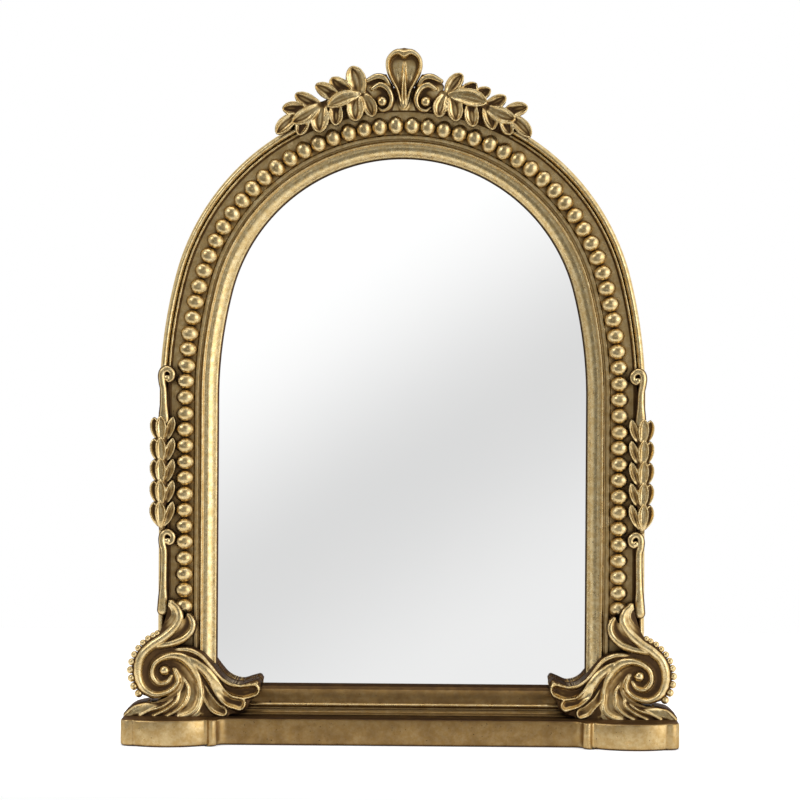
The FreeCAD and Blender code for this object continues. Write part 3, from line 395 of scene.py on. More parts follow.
def grid_solid(front, back, used):
    """Closed solid between two grids over the used cells."""
    rows, columns = used.shape
    node = np.arange((rows + 1) * (columns + 1)).reshape(rows + 1, columns + 1)
    a, b = node[:-1, :-1], node[:-1, 1:]
    c, d = node[1:, 1:], node[1:, :-1]
    quads = np.stack([a, b, c, d], -1)[used]
    padded = np.pad(used, 1)
    sides = []
    for (dr, dc), (p, q) in zip(((-1, 0), (0, 1), (1, 0), (0, -1)), ((a, b), (b, c), (c, d), (d, a))):
        open_edge = used & ~padded[1 + dr:1 + dr + rows, 1 + dc:1 + dc + columns]
        sides.append(np.stack([p[open_edge], q[open_edge]], -1))
    sides = np.vstack(sides)
    nodes = np.unique(quads)
    index = np.full(node.size, -1)
    index[nodes] = np.arange(len(nodes))
    count = len(nodes)
    top, rim = index[quads], index[sides]
    faces = top.tolist() + (top[:, ::-1] + count).tolist()
    faces += np.stack([rim[:, 1], rim[:, 0], rim[:, 0] + count, rim[:, 1] + count], -1).tolist()
    verts = np.vstack([front.reshape(-1, 3)[nodes], back.reshape(-1, 3)[nodes]])
    return verts, faces, nodes


# Materials
class Graph:
    """Shader nodes of a material or world, with short ways to add and join them."""

    def __init__(self, owner):
        owner.use_nodes = True
        self.nodes, self.links = owner.node_tree.nodes, owner.node_tree.links
        self.nodes.clear()

    def add(self, kind, **settings):
        node = self.nodes.new("ShaderNode" + kind)
        for key, value in settings.items():
            setattr(node, key, value)
        return node

    def put(self, value, socket):
        """Links another node's output, or sets a plain value; colours are given without alpha."""
        if isinstance(value, bpy.types.NodeSocket):
            self.links.new(value, socket)
        else:
            socket.default_value = (*value, 1.0) if socket.type == "RGBA" else value

    def fill(self, inputs, **values):
        """Puts each value into the input of its name, with spaces for underlines."""
        for key, value in values.items():
            self.put(value, inputs[key.replace("_", " ")])

    def noise(self, scale, detail=4.0, rough=0.6, stretch=None):
        """Noise in object space, per metre."""
        place = self.add("TexCoord").outputs["Object"]
        if stretch:
            mapping = self.add("Mapping")
            self.fill(mapping.inputs, Vector=place, Scale=stretch)
            place = mapping.outputs["Vector"]
        texture = self.add("TexNoise")
        self.fill(texture.inputs, Vector=place, Scale=scale, Detail=detail, Roughness=rough)
        return texture.outputs["Fac"]

    def ramp(self, source, low, high, to_low=0.0, to_high=1.0):
        """Maps source smoothly from low..high to to_low..to_high."""
        node = self.add("MapRange", interpolation_type="SMOOTHSTEP")
        self.fill(node.inputs, Value=source, From_Min=low, From_Max=high, To_Min=to_low, To_Max=to_high)
        return node.outputs["Result"]

    def math(self, kind, *values, clamp=False):
        node = self.add("Math", operation=kind, use_clamp=clamp)
        for value, socket in zip(values, node.inputs):
            self.put(value, socket)
        return node.outputs["Value"]

    def mix(self, share, first, second):
        """Colour between two colours."""
        node = self.add("Mix", data_type="RGBA")
        for value, index in ((share, 0), (first, 6), (second, 7)):
            self.put(value, node.inputs[index])
        return node.outputs[2]

    def axes(self, kind):
        """X, Y and Z of a texture coordinate."""
        split = self.add("SeparateXYZ")
        self.put(self.add("TexCoord").outputs[kind], split.inputs["Vector"])
        return split.outputs

    def bump(self, shader, height, strength, distance):
        node = self.add("Bump")
        self.fill(node.inputs, Height=height, Strength=strength, Distance=distance)
        self.put(node.outputs["Normal"], shader["Normal"])


def principled(name):
    """A material, its graph and the inputs of its one shader."""
    material = bpy.data.materials.new(name)
    graph = Graph(material)
    shader = graph.add("BsdfPrincipled")
    graph.put(shader.outputs["BSDF"], graph.add("OutputMaterial").inputs["Surface"])
    return material, graph, shader.inputs


# Colours of the gold and of what lies under it, and tints of their grazing reflections
GOLD, GOLD_PALE = (0.61, 0.435, 0.19), (0.77, 0.62, 0.345)
UMBER, BOLE = (0.054, 0.031, 0.018), (0.270, 0.138, 0.028)
GLAZE_EDGE, GOLD_EDGE = (0.30, 0.22, 0.15), (1.0, 0.90, 0.70)
# Other materials: the two tones that a noise mixes
GLASS_TONES = (0.955, 0.96, 0.96), (0.965, 0.967, 0.965)
BOARD_TONES = (0.035, 0.022, 0.014), (0.085, 0.055, 0.034)
CARD_TONES = (0.21, 0.14, 0.08), (0.30, 0.21, 0.13)
FELT_TONES = (0.006, 0.005, 0.005), (0.03, 0.027, 0.025)
STEEL_TONES = (0.42, 0.41, 0.39), (0.60, 0.59, 0.56)
WHITE, FLOOR_GREY, FLOOR_GLOW = (1.0, 1.0, 1.0), (0.82, 0.82, 0.82), 0.5
# Middle stretch of a noise, and reach in metres within which a hollow counts as shut in
NOISE_SPAN, SHUT_IN = (0.3, 0.7), 0.003


def gold_colour(graph, open_air, gilt):
    """Gold of two shades over the ground, with small dark pits."""
    streak = graph.ramp(graph.noise(420.0, detail=3.0, rough=0.7), 0.35, 0.7)
    gold = graph.mix(streak, GOLD, GOLD_PALE)
    ground = graph.mix(graph.ramp(open_air, 0.0, 0.5), UMBER, BOLE)
    pits = graph.ramp(graph.noise(900.0, detail=2.0, rough=0.5), 0.70, 0.76)
    return graph.mix(pits, graph.mix(gilt, ground, gold), UMBER)


def gold_material(name, carved=False, glaze=1.0, polish=0.0):
    """Rubbed gold over a red-brown ground, with dark glaze left in the hollows."""
    material, graph, shader = principled(name)
    occlusion = graph.add("AmbientOcclusion", samples=8)
    graph.put(SHUT_IN, occlusion.inputs["Distance"])
    open_air = graph.ramp(occlusion.outputs["AO"], 0.10, 0.72)
    if carved:
        cavity = graph.add("Attribute", attribute_name="hollow").outputs["Fac"]
        raised = graph.ramp(cavity, 0.25, 0.85, 1.0, 0.12)
        open_air = graph.math("MULTIPLY", open_air, raised, clamp=True)
    cloud = graph.ramp(graph.noise(120.0), 0.3, 0.75, -0.04, 0.03)
    open_air = graph.math("ADD", open_air, cloud, clamp=True)
    gilt = graph.ramp(open_air, 0.12 * glaze, 0.72 * glaze)
    rough = graph.ramp(graph.noise(260.0), *NOISE_SPAN, 0.26 - polish, 0.40 - polish)
    matt = graph.ramp(gilt, 0.0, 1.0, 0.16, 0.0)
    graph.fill(shader, Base_Color=gold_colour(graph, open_air, gilt),
               Metallic=graph.ramp(gilt, 0.0, 1.0, 0.75, 1.0), Specular_IOR_Level=0.3,
               Specular_Tint=graph.mix(gilt, GLAZE_EDGE, GOLD_EDGE),
               Roughness=graph.math("ADD", rough, matt, clamp=True))
    graph.bump(shader, graph.noise(500.0, detail=5.0, rough=0.65), 0.22 - polish, 0.0006)
    return material


def plain_material(name, tones, grain, rough, bump, **values):
    """A material coloured between two tones by a noise, which also sets its roughness and its bumps."""
    material, graph, shader = principled(name)
    source = graph.noise(*grain)
    colour = graph.mix(graph.ramp(source, *NOISE_SPAN), *tones)
    graph.fill(shader, Base_Color=colour, Roughness=graph.ramp(source, *NOISE_SPAN, *rough), **values)
    graph.bump(shader, source, *bump)
    return material


def board_material():
    """Dark-faced fibreboard with a faint felted grain."""
    grain = (700.0, 6.0, 0.75, (1.0, 1.0, 0.25))
    return plain_material("fibreboard", BOARD_TONES, grain, (0.72, 0.72), (0.3, 0.0004))


def card_material():
    return plain_material("card", CARD_TONES, (900.0, 5.0, 0.7), (0.85, 0.85), (0.3, 0.0003))


def felt_material():
    hairs = (1600.0, 6.0, 0.8)
    return plain_material("felt", FELT_TONES, hairs, (0.95, 0.95), (0.6, 0.0005), Sheen_Weight=0.5)


def steel_material():
    """Plated sheet steel with fine rolling marks."""
    marks = (900.0, 3.0, 0.6, (1.0, 1.0, 0.08))
    return plain_material("plated_steel", STEEL_TONES, marks, (0.25, 0.42), (0.1, 0.0002), Metallic=1.0)


def mirror_material():
    """Silvered glass with hardly any smears."""
    material, graph, shader = principled("silvered_glass")
    tint = graph.mix(graph.ramp(graph.noise(12.0), *NOISE_SPAN), *GLASS_TONES)
    smears = graph.ramp(graph.noise(40.0), *NOISE_SPAN, 0.0, 0.012)
    graph.fill(shader, Base_Color=tint, Metallic=1.0, Roughness=smears)
    return material


# Darker gold for the crest's backing: painted shade behind the leaves, with heavier glaze
gold_painted_shade = gold_material("antique_gold_painted_shade", glaze=2.2)
gold_carved = gold_material("antique_gold_carved", carved=True, polish=0.05)
gold_pearl = gold_material("antique_gold_pearl", glaze=0.25, polish=0.02)


# Mouldings: Y of the frame's steps, and stretches across as (from, to, share of dark glaze)
RIM, QUIRK, BEAD, CHANNEL, STRIP = -6.6, -5.6, -6.35, -4.6, -5.4
FRAME_GLAZE = ((0.0, 0.05, 0.3), (3.22, 3.65, 0.9), (4.85, 5.6, 0.75), (5.6, 8.6, 0.59), (8.6, 18.5, 0.565))
STILE_GLAZE = ((3.6, 4.85, 0.82), (5.6, 8.6, 0.62), (8.6, 18.5, 0.59))
# The same as shares of the sight moulding's width, along the arch and along the bottom
SLIP_GLAZE = ((0.0, 0.12, 0.62), (0.245, 0.31, 0.58), (0.31, 0.42, 0.4), (0.935, 1.0, 0.8))
SLIP_BOTTOM_GLAZE = ((0.25, 1.01, 0.7), (0.0, 0.12, 0.62), (0.8, 1.01, 0.8), (0.12, 0.24, 0.56))
RAIL_GLAZE = ((PLINTH_TOP, SLIP_FOOT, 0.66),)
MOULDING_CREASE, PLINTH_CREASE, NODE_CREASE = 40, 50, 35


def frame_section():
    """Rim, quirk, thin bead, channel and inner strip, from the outer wall inwards."""
    corners = [(0.0, FRAME_BACK), (0.0, RIM + 0.6)]
    corners += bowed((0.1, RIM), (3.2, RIM), 1.45, 11)
    corners += [(3.25, QUIRK), (3.6, QUIRK)]
    corners += bowed((3.62, BEAD), (4.8, BEAD), 0.45, 6)
    corners += [(4.9, CHANNEL - 0.15), (5.5, CHANNEL), (10.0, CHANNEL), (16.3, CHANNEL), (16.6, STRIP + 0.3),
                (16.8, STRIP), (18.2, STRIP), (FRAME_WIDTH, STRIP + 0.3), (FRAME_WIDTH, FRAME_BACK)]
    return rounded(corners, 0.22, 3)


def slip_section(width, offset):
    """Cove, thin arris and broad torus down to the glass; offset is the first wall's place."""
    def at(share, y):
        return (offset + width * share, y)
    cove, arris = 0.8 - SLIP_FRONT, 0.1 - SLIP_FRONT
    corners = [at(0, GLASS_FRONT - 0.05), at(0, cove), at(0.05, cove + 0.15), at(0.1, cove)]
    corners += bowed(at(0.13, arris), at(0.235, arris), 0.4, 6)
    corners += [at(0.25, arris + 0.5), at(0.29, arris + 0.75)]
    corners += bowed(at(0.32, arris + 0.8), at(0.92, arris + 4.0), 1.0, 12, FORWARD)
    corners += [at(0.955, 0.2), at(1.0, GLASS_FRONT - 1.2), at(1.0, GLASS_FRONT - 0.05)]
    return rounded(corners, 0.16, 3)


def slip_glaze(stretches, width, offset):
    """Stretches given as shares of the width, in millimetres."""
    return [(offset + width * a, offset + width * b, share) for a, b, share in stretches]


def rail_section():
    """Hollow ledge between the plinth and the bottom sight moulding."""
    nose, front, step, seat = -9.5, -SLIP_FRONT - 1.0, SLIP_FOOT, 18.6
    corners = [(PLINTH_TOP, FRAME_BACK), (PLINTH_TOP, nose), (PLINTH_TOP + 0.6, nose)]
    for t in np.linspace(0.1, 0.9, 7):
        sag = 0.9 * 4 * t * (1 - t)
        corners.append((PLINTH_TOP + 0.6 + (step - PLINTH_TOP - 1.2) * t, nose + (front - nose) * t + sag))
    corners += [(step - 0.6, front), (step - 0.05, front), (step - 0.05, GLASS_FRONT), (seat, GLASS_FRONT),
                (seat, FRAME_BACK)]
    return rounded(corners, 0.2, 3)


def make_mouldings():
    wall = HALF_WIDTH - FRAME_WIDTH
    arch, bottom = slip_section(SLIP_WIDTH, FRAME_WIDTH), slip_section(SLIP_TALL, SLIP_FOOT)
    pieces = [
        sweep_arch("frame_moulding", frame_section(), ["frame_arch"], FRAME_GLAZE, stile_glaze=STILE_GLAZE),
        sweep_arch("sight_edge_arch", arch, ["sight_moulding"],
                   slip_glaze(SLIP_GLAZE, SLIP_WIDTH, FRAME_WIDTH), SLIP_FOOT, SLIP_TALL / SLIP_WIDTH),
        extrude_across("sight_edge_bottom", bottom, wall, ["sight_moulding_bottom"],
                       slip_glaze(SLIP_BOTTOM_GLAZE, SLIP_TALL, SLIP_FOOT), SLIP_WIDTH / SLIP_TALL),
        extrude_across("bottom_rail_moulding", rail_section(), wall, ["frame_bottom_rail"], RAIL_GLAZE),
    ]
    for piece in pieces:
        sharpen(piece, MOULDING_CREASE)


# Plinth: cove beside the middle, start of the pedestals' bow, its lead and rolled corner
COVE, BOW_START, BOW_LEAD, CORNER, CORNER_QUIRK = 5.0, 90.8, 2.4, 6.0, 0.8
# Rings of the plinth from below, each with its inset and height
PLINTH_RINGS = (
    (1.4, 0.9), (1.4, 0.2), (0.9, 0.15), (0.3, 0.4), (0.06, 1.1), (0.0, 2.6), (0.0, 6.0),
    (0.0, PLINTH_TOP - 1.1), (0.12, PLINTH_TOP - 0.55), (0.4, PLINTH_TOP - 0.15), (0.95, PLINTH_TOP),
    (1.6, PLINTH_TOP),
)
# Dark glaze on the plinth, and how much more lies on its straight front and on its top
PLINTH_GLAZE, FRONT_GLAZE, TOP_GLAZE = 0.6, 0.08, 0.15


def plinth_outline(inset):
    """Closed outline of the plinth: a straight middle between two bowed pedestals with rolled corners."""
    wide, back, front = PLINTH_HALF - inset, PLINTH_BACK - inset, PLINTH_FRONT + inset
    shoulder = front - COVE
    lead, bow = shoulder - BOW_LEAD, BOW_START + inset
    step = bow - 5.6
    right = [(0.0, front), (40.0, front)]
    right += [(step - COVE + COVE * math.sin(a), shoulder + COVE * math.cos(a))
              for a in np.linspace(0, 1.5, 9)]
    right += bowed((step, shoulder), (step + 4.4, shoulder), 1.7, 13)
    right += bowed((bow, shoulder + 0.3), (wide - CORNER - CORNER_QUIRK, lead), 4.4, 41)
    right += bowed((wide - CORNER, lead + CORNER_QUIRK), (wide, lead + CORNER), CORNER * 0.4, 15)
    right += [(wide, 0.0), (wide, back - 2.0), (wide - 0.6, back - 0.6), (wide - 2.0, back), (60.0, back),
              (0.0, back)]
    left = [(-x, y) for x, y in right[-2:0:-1]]
    return np.array([tuple(c) for c in right + left])


def make_plinth():
    rings = []
    for inset, z in PLINTH_RINGS:
        ring = plinth_outline(inset)
        rings.append(np.column_stack([ring, np.full(len(ring), z)]))
    verts = np.vstack(rings)
    x, y, z = verts.T
    straight = ease(np.abs(x), 86.0, 80.0) * (y < 0)
    share = PLINTH_GLAZE + FRONT_GLAZE * straight + TOP_GLAZE * (z > PLINTH_TOP - 0.2)
    faces = tube_faces(len(rings), len(rings[0]))
    sharpen(add_piece("plinth_casting", verts, faces, gold_carved, ["plinth"], share), PLINTH_CREASE)


# Pearls: number, distance inside the wall, lowest height and Y, half sizes, and how far each differs
PEARL_COUNT, PEARL_LINE, PEARL_FOOT, PEARL_Y = 76, 12.0, 63.2, -6.2
PEARL_SIZE, PEARL_VARIATION, PEARL_SHIFT = (4.25, 3.7, 3.7), 0.02, 0.12


def ball_mesh():
    ball = bmesh.new()
    bmesh.ops.create_uvsphere(ball, u_segments=28, v_segments=18, radius=1.0)
    unit = np.array([v.co for v in ball.verts])
    cells = [[v.index for v in f.verts] for f in ball.faces]
    ball.free()
    return unit, cells


def add_pearls(name, balls, cells, replaces):
    """One piece from the points of several balls."""
    size = len(balls[0])
    faces = [[k + i * size for k in cell] for i in range(len(balls)) for cell in cells]
    add_piece(name, np.vstack(balls), faces, gold_pearl, replaces)


def make_pearls():
    """A course of slightly flattened pearls, each a little different."""
    below = PEARL_FOOT - SPRING
    pitch = 2 * (arch_half(PEARL_LINE) - below) / (PEARL_COUNT - 1)
    unit, cells = ball_mesh()
    balls = []
    for i in range(PEARL_COUNT // 2):
        spot, out = arch_spot(below + i * pitch, PEARL_LINE)
        for side in (1, -1):
            size = np.array(PEARL_SIZE) * rng.uniform(1 - PEARL_VARIATION, 1 + PEARL_VARIATION, 3)
            shift = rng.uniform(-PEARL_SHIFT, PEARL_SHIFT, 2)
            outward, y, upward = (unit * size).T
            x = side * (spot[0] + shift[0] + outward * out[0] - upward * out[1])
            z = spot[1] + shift[1] + outward * out[1] + upward * out[0]
            balls.append(np.column_stack([x, PEARL_Y + y, z]))
    add_pearls("pearl_course", balls, cells, ["bead_course"])


# Corner scrolls and acanthus feet, drawn from the scroll's eye: inwards to the glass, upwards
EYE_OUT, EYE_HEIGHT = 111.0, 33.5
VOLUTE_GROUND = [
    (-5.6, -13.2), (-11.6, -11), (-14.6, -6.4), (-15.7, 0.4), (-15.1, 4.4), (-13.6, 7.6), (-10.6, 11.8),
    (-7.2, 15), (-2.8, 17.6), (-0.8, 21.4), (0.8, 27), (1.8, 33), (3.4, 33), (6.8, 29), (9, 24),
    (10.6, 26.8), (12.6, 25.6), (14.6, 21), (13, 17), (8.6, 14), (2.6, 12.2), (6.6, 8.4), (8, 4),
    (7.6, -4), (3.2, -10.6),
]
FOOT_GROUND = [
    (-17.8, -22), (-19.1, -21), (-17.6, -18.6), (-14.4, -16.6), (-10.8, -15.6), (-4, -14.8),
    (2, -12), (7.6, -6), (8.2, 3), (6.6, 8.4), (2, 10.4), (8, 11.4), (12.8, 10.8), (18.8, 7),
    (22.6, 2.4), (26.6, -3), (31, -6.4), (35.6, -6.6), (40.6, -5.2), (43.4, -4.2), (45.2, -6),
    (44.6, -9), (42.4, -12.4), (40, -14.6), (39.2, -17.2), (36, -19.4), (31, -20.2), (29.6, -21.6),
    (26.6, -22),
]
# Spots between the folds where painted shade and patina are darkest, each with its reach
SCROLL_SHADE_AND_PATINA = [((19, -17), 5), ((21, -21), 4.5), ((4.6, -20.4), 3.2), ((-1.6, -20.6), 3),
                 ((-8, -21), 2.6), ((30, -18.8), 4), ((39.6, -13.6), 4)]
# Folds that run out over the pedestal, each with its half width
FOOT_FOLDS = [
    ([(8.6, -3), (11, -8), (10.4, -13.4), (7.2, -17.8), (1.8, -21)], 1),
    ([(7.2, -9.6), (5.4, -14.4), (1.4, -18), (-4.4, -20.8)], 0.9),
    ([(4, -13.4), (-1, -16.8), (-6.6, -18.6), (-11, -20.8)], 0.8),
    ([(-10.4, -16.2), (-14, -17.2), (-18.2, -20.8)], 0.45),
]


def carve_lobes(face):
    """The foot's lobes from the back edge to the bright strand along the top; widths, then heights."""
    back_edge = [(28, -5.4), (32, -7.4), (36, -7.6), (40.6, -6.4), (43.2, -5.8)]
    face.stroke(back_edge, (0.8, 1, 1.1, 1.3, 1.5), (0.6, 0.7, 0.8, 0.9, 1.4), 0.1)
    upper_cup = [(22, -0.6), (26, -4.6), (30, -8), (34.5, -9.8), (38.5, -9.8), (41.8, -9)]
    face.stroke(upper_cup, (0.9, 1.6, 2.4, 3.1, 3.4, 3), (1.8, 2.4, 2.6, 2.7, 2.8, 2.9), 0.7,
                (0.4, 0.8, 1, 1, 1, 1), rim=0.88, floor=0.06)
    main_lobe = [(10, 6.4), (14.6, 3.6), (19.4, -0.2), (22.9, -4.8), (26.5, -10.2), (30.4, -13.8),
                 (35.4, -15.2)]
    face.stroke(main_lobe, (1.6, 2.6, 2.9, 2.9, 2.7, 2.8, 3.1), (1.8, 3, 3.4, 3.4, 3.2, 2.8, 2.7), 1.1,
                (0, 0, 0.05, 0.15, 0.5, 1, 1), rim=0.87, floor=0.12)
    lower_cup = [(17, -4.4), (19.3, -10.4), (21.8, -14.6), (24.6, -17.6), (27.6, -18.8)]
    face.stroke(lower_cup, (0.8, 1.7, 2.3, 2.7, 2.3), (1.6, 2.1, 2.2, 2.2, 2), 0.8, (0.5, 1, 1, 1, 1),
                rim=0.86, floor=0.06)
    bright = [(3, 9.6), (10.5, 9.8), (16.4, 7.4), (21.5, 2.4), (25.2, -2), (28.2, -4.9), (32, -6.8),
              (36.4, -7.1), (40, -6.3)]
    face.stroke(bright, (0.8, 1.3, 1.4, 1.3, 1.1, 0.9, 0.8, 0.7, 0.5),
                (1, 2, 2.7, 2.8, 2.6, 2.4, 2.2, 2.1, 2), 1)


def carve_folds(face):
    """The smooth toe, then the folds over it."""
    toe = [(-4, -16.6), (-9.6, -17.4), (-14.4, -18.8), (-17.4, -20.6)]
    face.stroke(toe, (1.6, 2.6, 2.6, 1.6), (1, 1.6, 1.5, 0.9), 0.3)
    for fold, wide in FOOT_FOLDS:
        face.strand(fold, (0.5 * wide, wide, wide, 0.9 * wide), (0.9, 1.7, 1.7, 1.1), 0.7)


def carve_turns(face):
    """Ridge from the inner turn down to the pedestal, outer turn with its two tips, thread and eye."""
    ridge = [(3.1, -2.6), (1.3, -5.6), (-2.7, -6.3), (-5.7, -2.6), (-5.2, 2.3), (-1.8, 5.4), (3.1, 6.9),
             (8.2, 6.1), (12.2, 3.1), (15.6, -2.9), (17, -9.5), (16.2, -15.6), (13.2, -19.4), (8, -21.4)]
    face.strand(ridge, (0.7, 1.1, 1.3, 1.4, 1.5, 1.8, 2.3, 2.7, 2.3, 1.5, 1.2, 1.2, 1.1, 0.9),
                (0.9, 1.5, 1.9, 2.1, 2.2, 2.4, 2.6, 2.6, 2.2, 1.8, 1.5, 1.4, 1.2, 0.8), 1.4)
    outer = [(4.5, 0.2), (6.2, -4.1), (4.9, -7.8), (0.6, -10.6), (-4.8, -11.4), (-9.6, -8.8), (-12.2, -4),
             (-12.4, 2.2), (-10.4, 7.6), (-6, 11.8), (-0.4, 15.6), (4.6, 20.2), (7, 25), (5.8, 29.2),
             (3, 31.8)]
    face.strand(outer, (0.8, 1.1, 1.3, 1.4, 1.6, 1.9, 2.2, 2.4, 2.5, 2.6, 2.4, 2.2, 1.9, 1.4, 0.7),
                (1.2, 1.8, 2, 2.1, 2.2, 2.5, 2.7, 2.9, 3, 3, 2.8, 2.4, 2, 1.5, 0.8), 1.4)
    second_tip = [(-6.4, 11.4), (-1.6, 11.9), (3.3, 12.8), (8.4, 14.8), (12, 18), (13.2, 21.6),
                  (12.2, 24.6), (10.8, 26.2)]
    face.strand(second_tip, (1.8, 1.8, 1.8, 1.9, 1.8, 1.6, 1.3, 0.7),
                (2.6, 2.4, 2.2, 2.2, 2.1, 1.8, 1.4, 0.8), 1.2)
    thread = [(-5.4, 9.4), (-8.2, 5.6), (-9.2, 0.6), (-8, -4.6), (-4.4, -8.4)]
    face.stroke(thread, (0.3, 0.5, 0.6, 0.5, 0.3), (0.4, 0.6, 0.7, 0.6, 0.4), 1)
    face.dome((0, 0), 2.5, 2)


def scroll_relief():
    """Carves one corner: the acanthus lobes that spill over the pedestal, then the volute."""
    face = Relief((-20.4, -22.4), (48, 34.6))
    face.ground(VOLUTE_GROUND, 0.3, 0.7)
    face.ground(FOOT_GROUND, 0.3, 1.2)
    carve_lobes(face)
    carve_folds(face)
    carve_turns(face)
    # Painted shade with glaze in the deep spots between the folds
    for spot, reach in SCROLL_SHADE_AND_PATINA:
        face.shade_and_patina(spot, reach)
    return face


# Pearls on the scroll's back: line from the top down, first and last radius, number, crowding and Y
SCROLL_PEARL_LINE = [(-3.6, 17.4), (-9.2, 13.9), (-14.1, 7.7), (-16.1, 0.5), (-14.8, -6.8), (-12.2, -11)]
SCROLL_PEARL_SIZES, SCROLL_PEARL_COUNT = (1.45, 1.9), 11
SCROLL_PEARL_CROWDING, SCROLL_PEARL_Y = 1.2, -12.4
# Each corner's side, how its lobes shorten and rise towards the tip, and how far its scroll leans out
CORNERS = (("left", -1, 0, 0, 0), ("right", 1, 0.1, 0.08, 1.2))
CORNER_SEAT, CORNER_SKIRT, LOBE_START, FLARE = 2, 13, 14, 5.0


def make_scroll_pearls(label, place):
    unit, cells = ball_mesh()
    path, share = smooth_path(SCROLL_PEARL_LINE, 0.1)
    balls = []
    for t in np.linspace(0, 1, SCROLL_PEARL_COUNT):
        spot = [np.interp(t**SCROLL_PEARL_CROWDING, share, axis) for axis in path.T]
        x, z = place(*spot)
        balls.append(unit * along(SCROLL_PEARL_SIZES, t) + (x, SCROLL_PEARL_Y, z))
    add_pearls(f"scroll_pearl_row_{label}", balls, cells, [f"scroll_pearls_{label}"])


def corner_place(side, short, lift, drift):
    """Maps the carving to one corner, its lobes shortened and raised, and its scroll leant out by drift."""
    def place(u, v):
        lobe = np.maximum(u - LOBE_START, 0)
        raised = lift * lobe * ease(v, -22, -10)
        leant = drift * ease(v, -17, -11) * ease(v, 30, 14)
        return side * (EYE_OUT - u + short * lobe + leant), EYE_HEIGHT + v + raised - leant
    return place


def make_corners():
    def flare(v):
        """The lobes come forward as they fall to the pedestal."""
        return FLARE * ease(v, -8, -22)**1.5

    for label, *shape in CORNERS:
        place = corner_place(*shape)
        scroll_relief().piece(f"corner_carving_{label}", place, CORNER_SEAT, CORNER_SKIRT,
                              [f"corner_scroll_{label}", f"acanthus_foot_{label}"], bend=flare)
        make_scroll_pearls(label, place)


# Crest: Y of its seat, the leaves' depth behind their carving and the palmette's
CREST_SEAT, CREST_SKIRT, PALMETTE_SKIRT = -8.1, 0.9, 0.6


def crest_spot(angle, outward):
    """Point at these degrees from the crown's top and this far outside the wall."""
    turn, reach = math.radians(angle), CROWN_RADIUS + outward
    return reach * math.sin(turn), CROWN_CENTRE + reach * math.cos(turn)


# Spray leaves: tip and base, each as degrees from the crown and distance outside the wall, then width
RIGHT_SPRAY = [
    (12.5, 14.7, 10.2, 3.6, 4.8), (15.9, 12, 12.6, 3.6, 4.8), (19.3, 11.6, 16.1, 3.6, 4.2),
    (23, 11.1, 19.4, 3.2, 4.4), (28.4, 11.1, 24.2, 3.2, 4.6), (9.1, -6.5, 9.6, 3.6, 4.8),
    (13.6, -6.7, 11.3, 3.6, 5.2), (18.4, -7, 16.2, 3.6, 4.8), (23.4, -5, 19.2, 3.8, 4.8),
    (27.8, -3.6, 24.4, 3.6, 4.4), (32.5, 0, 25.6, 3.6, 4.6), (27.1, 3.2, 20.2, 3.2, 5.2),
    (19.5, 5.2, 11, 4.2, 5.7),
]
LEFT_SPRAY = [
    (11.1, 17, 10.8, 3.2, 6.4), (15.8, 14.1, 12, 3.6, 5.7), (19.5, 13.6, 15.5, 3.2, 4.8),
    (24.3, 13.1, 19.8, 3.4, 4.8), (28.2, 9.6, 23.4, 3.4, 4.6), (8.1, -6.8, 9.6, 3.6, 4.6),
    (12.6, -7, 11.1, 3.6, 5.7), (18, -7, 16.7, 3.6, 4.6), (22.5, -7, 19.5, 3.4, 6.1),
    (27.7, -4.6, 24, 3.6, 4.4), (32.4, 1, 25.6, 3.8, 4.6), (27.7, 1.8, 20.4, 4.2, 5),
    (18.5, 2.4, 10.7, 4.3, 4.8),
]
LEAF_WIDTHS = np.array([0.3, 0.52, 0.74, 0.9, 0.99, 1, 0.88, 0.6, 0.16])
SPRAY_FULLNESS = 1.5
SPRAY_STEM = ((9, 3.4), (15, 3.8), (21, 3.6), (26.6, 3.4))
LEAF_BOW = 0.08


def leaf(face, base, tip, width, low, bow):
    """A cupped leaf with a pointed tip, thin raised edges, a midrib and a vein on each side of it."""
    base, tip = np.array(base), np.array(tip)
    run = tip - base
    across = np.array([-run[1], run[0]])
    side, unit = across * bow, across / np.linalg.norm(run)
    middle = [base, base + run * 0.35 + side * 0.6, base + run * 0.7 + side * 0.5, tip - run * 0.02]
    lift = (low * 0.4, low, low, low * 0.8)
    face.stroke(middle, LEAF_WIDTHS * width / 2, (0.9, 1.8, 2.3, 2.4, 2.2), lift, (0.4, 1, 1, 0.9),
                vein=0.14, rim=0.88, floor=0.2, over=True)
    for turn in (-width, width):
        vein = [base + run * 0.1, base + run * 0.45 + side * 0.6 + unit * turn * 0.22,
                base + run * 0.8 + side * 0.4 + unit * turn * 0.2]
        face.stroke(vein, (0.1, 0.32, 0.1), (0.4, 1.05, 1.1), lift)


def above_crown(points, turn=1):
    """Points given to the right of the middle and above the frame's outer wall at the crown."""
    return [(turn * x, CROWN_TOP + z) for x, z in points]


def make_sprays():
    for (label, side), leaves in zip(SIDES, (LEFT_SPRAY, RIGHT_SPRAY)):
        face = Relief((8, CROWN_TOP - 22), (64, CROWN_TOP + 19), 0.25)
        bed = [crest_spot(a, -5) for a in range(7, 31, 3)] + [crest_spot(a, 4.6) for a in range(26, 7, -3)]
        face.ground(bed, 0, 0.1)
        stem = [crest_spot(*spot) for spot in SPRAY_STEM]
        face.stroke(stem, (2.4, 2.1, 1.7, 1), (0.9, 0.9, 0.8, 0.5), 0.2)
        for i, (tip, reach, root, low, width) in enumerate(leaves):
            leaf(face, crest_spot(root, low), crest_spot(tip, reach), width * SPRAY_FULLNESS, 0.4 + 0.12 * i,
                 LEAF_BOW * (-1)**i)
        face.piece(f"leaf_spray_{label}", mirrored(side), CREST_SEAT, CREST_SKIRT, [f"crest_spray_{label}"])


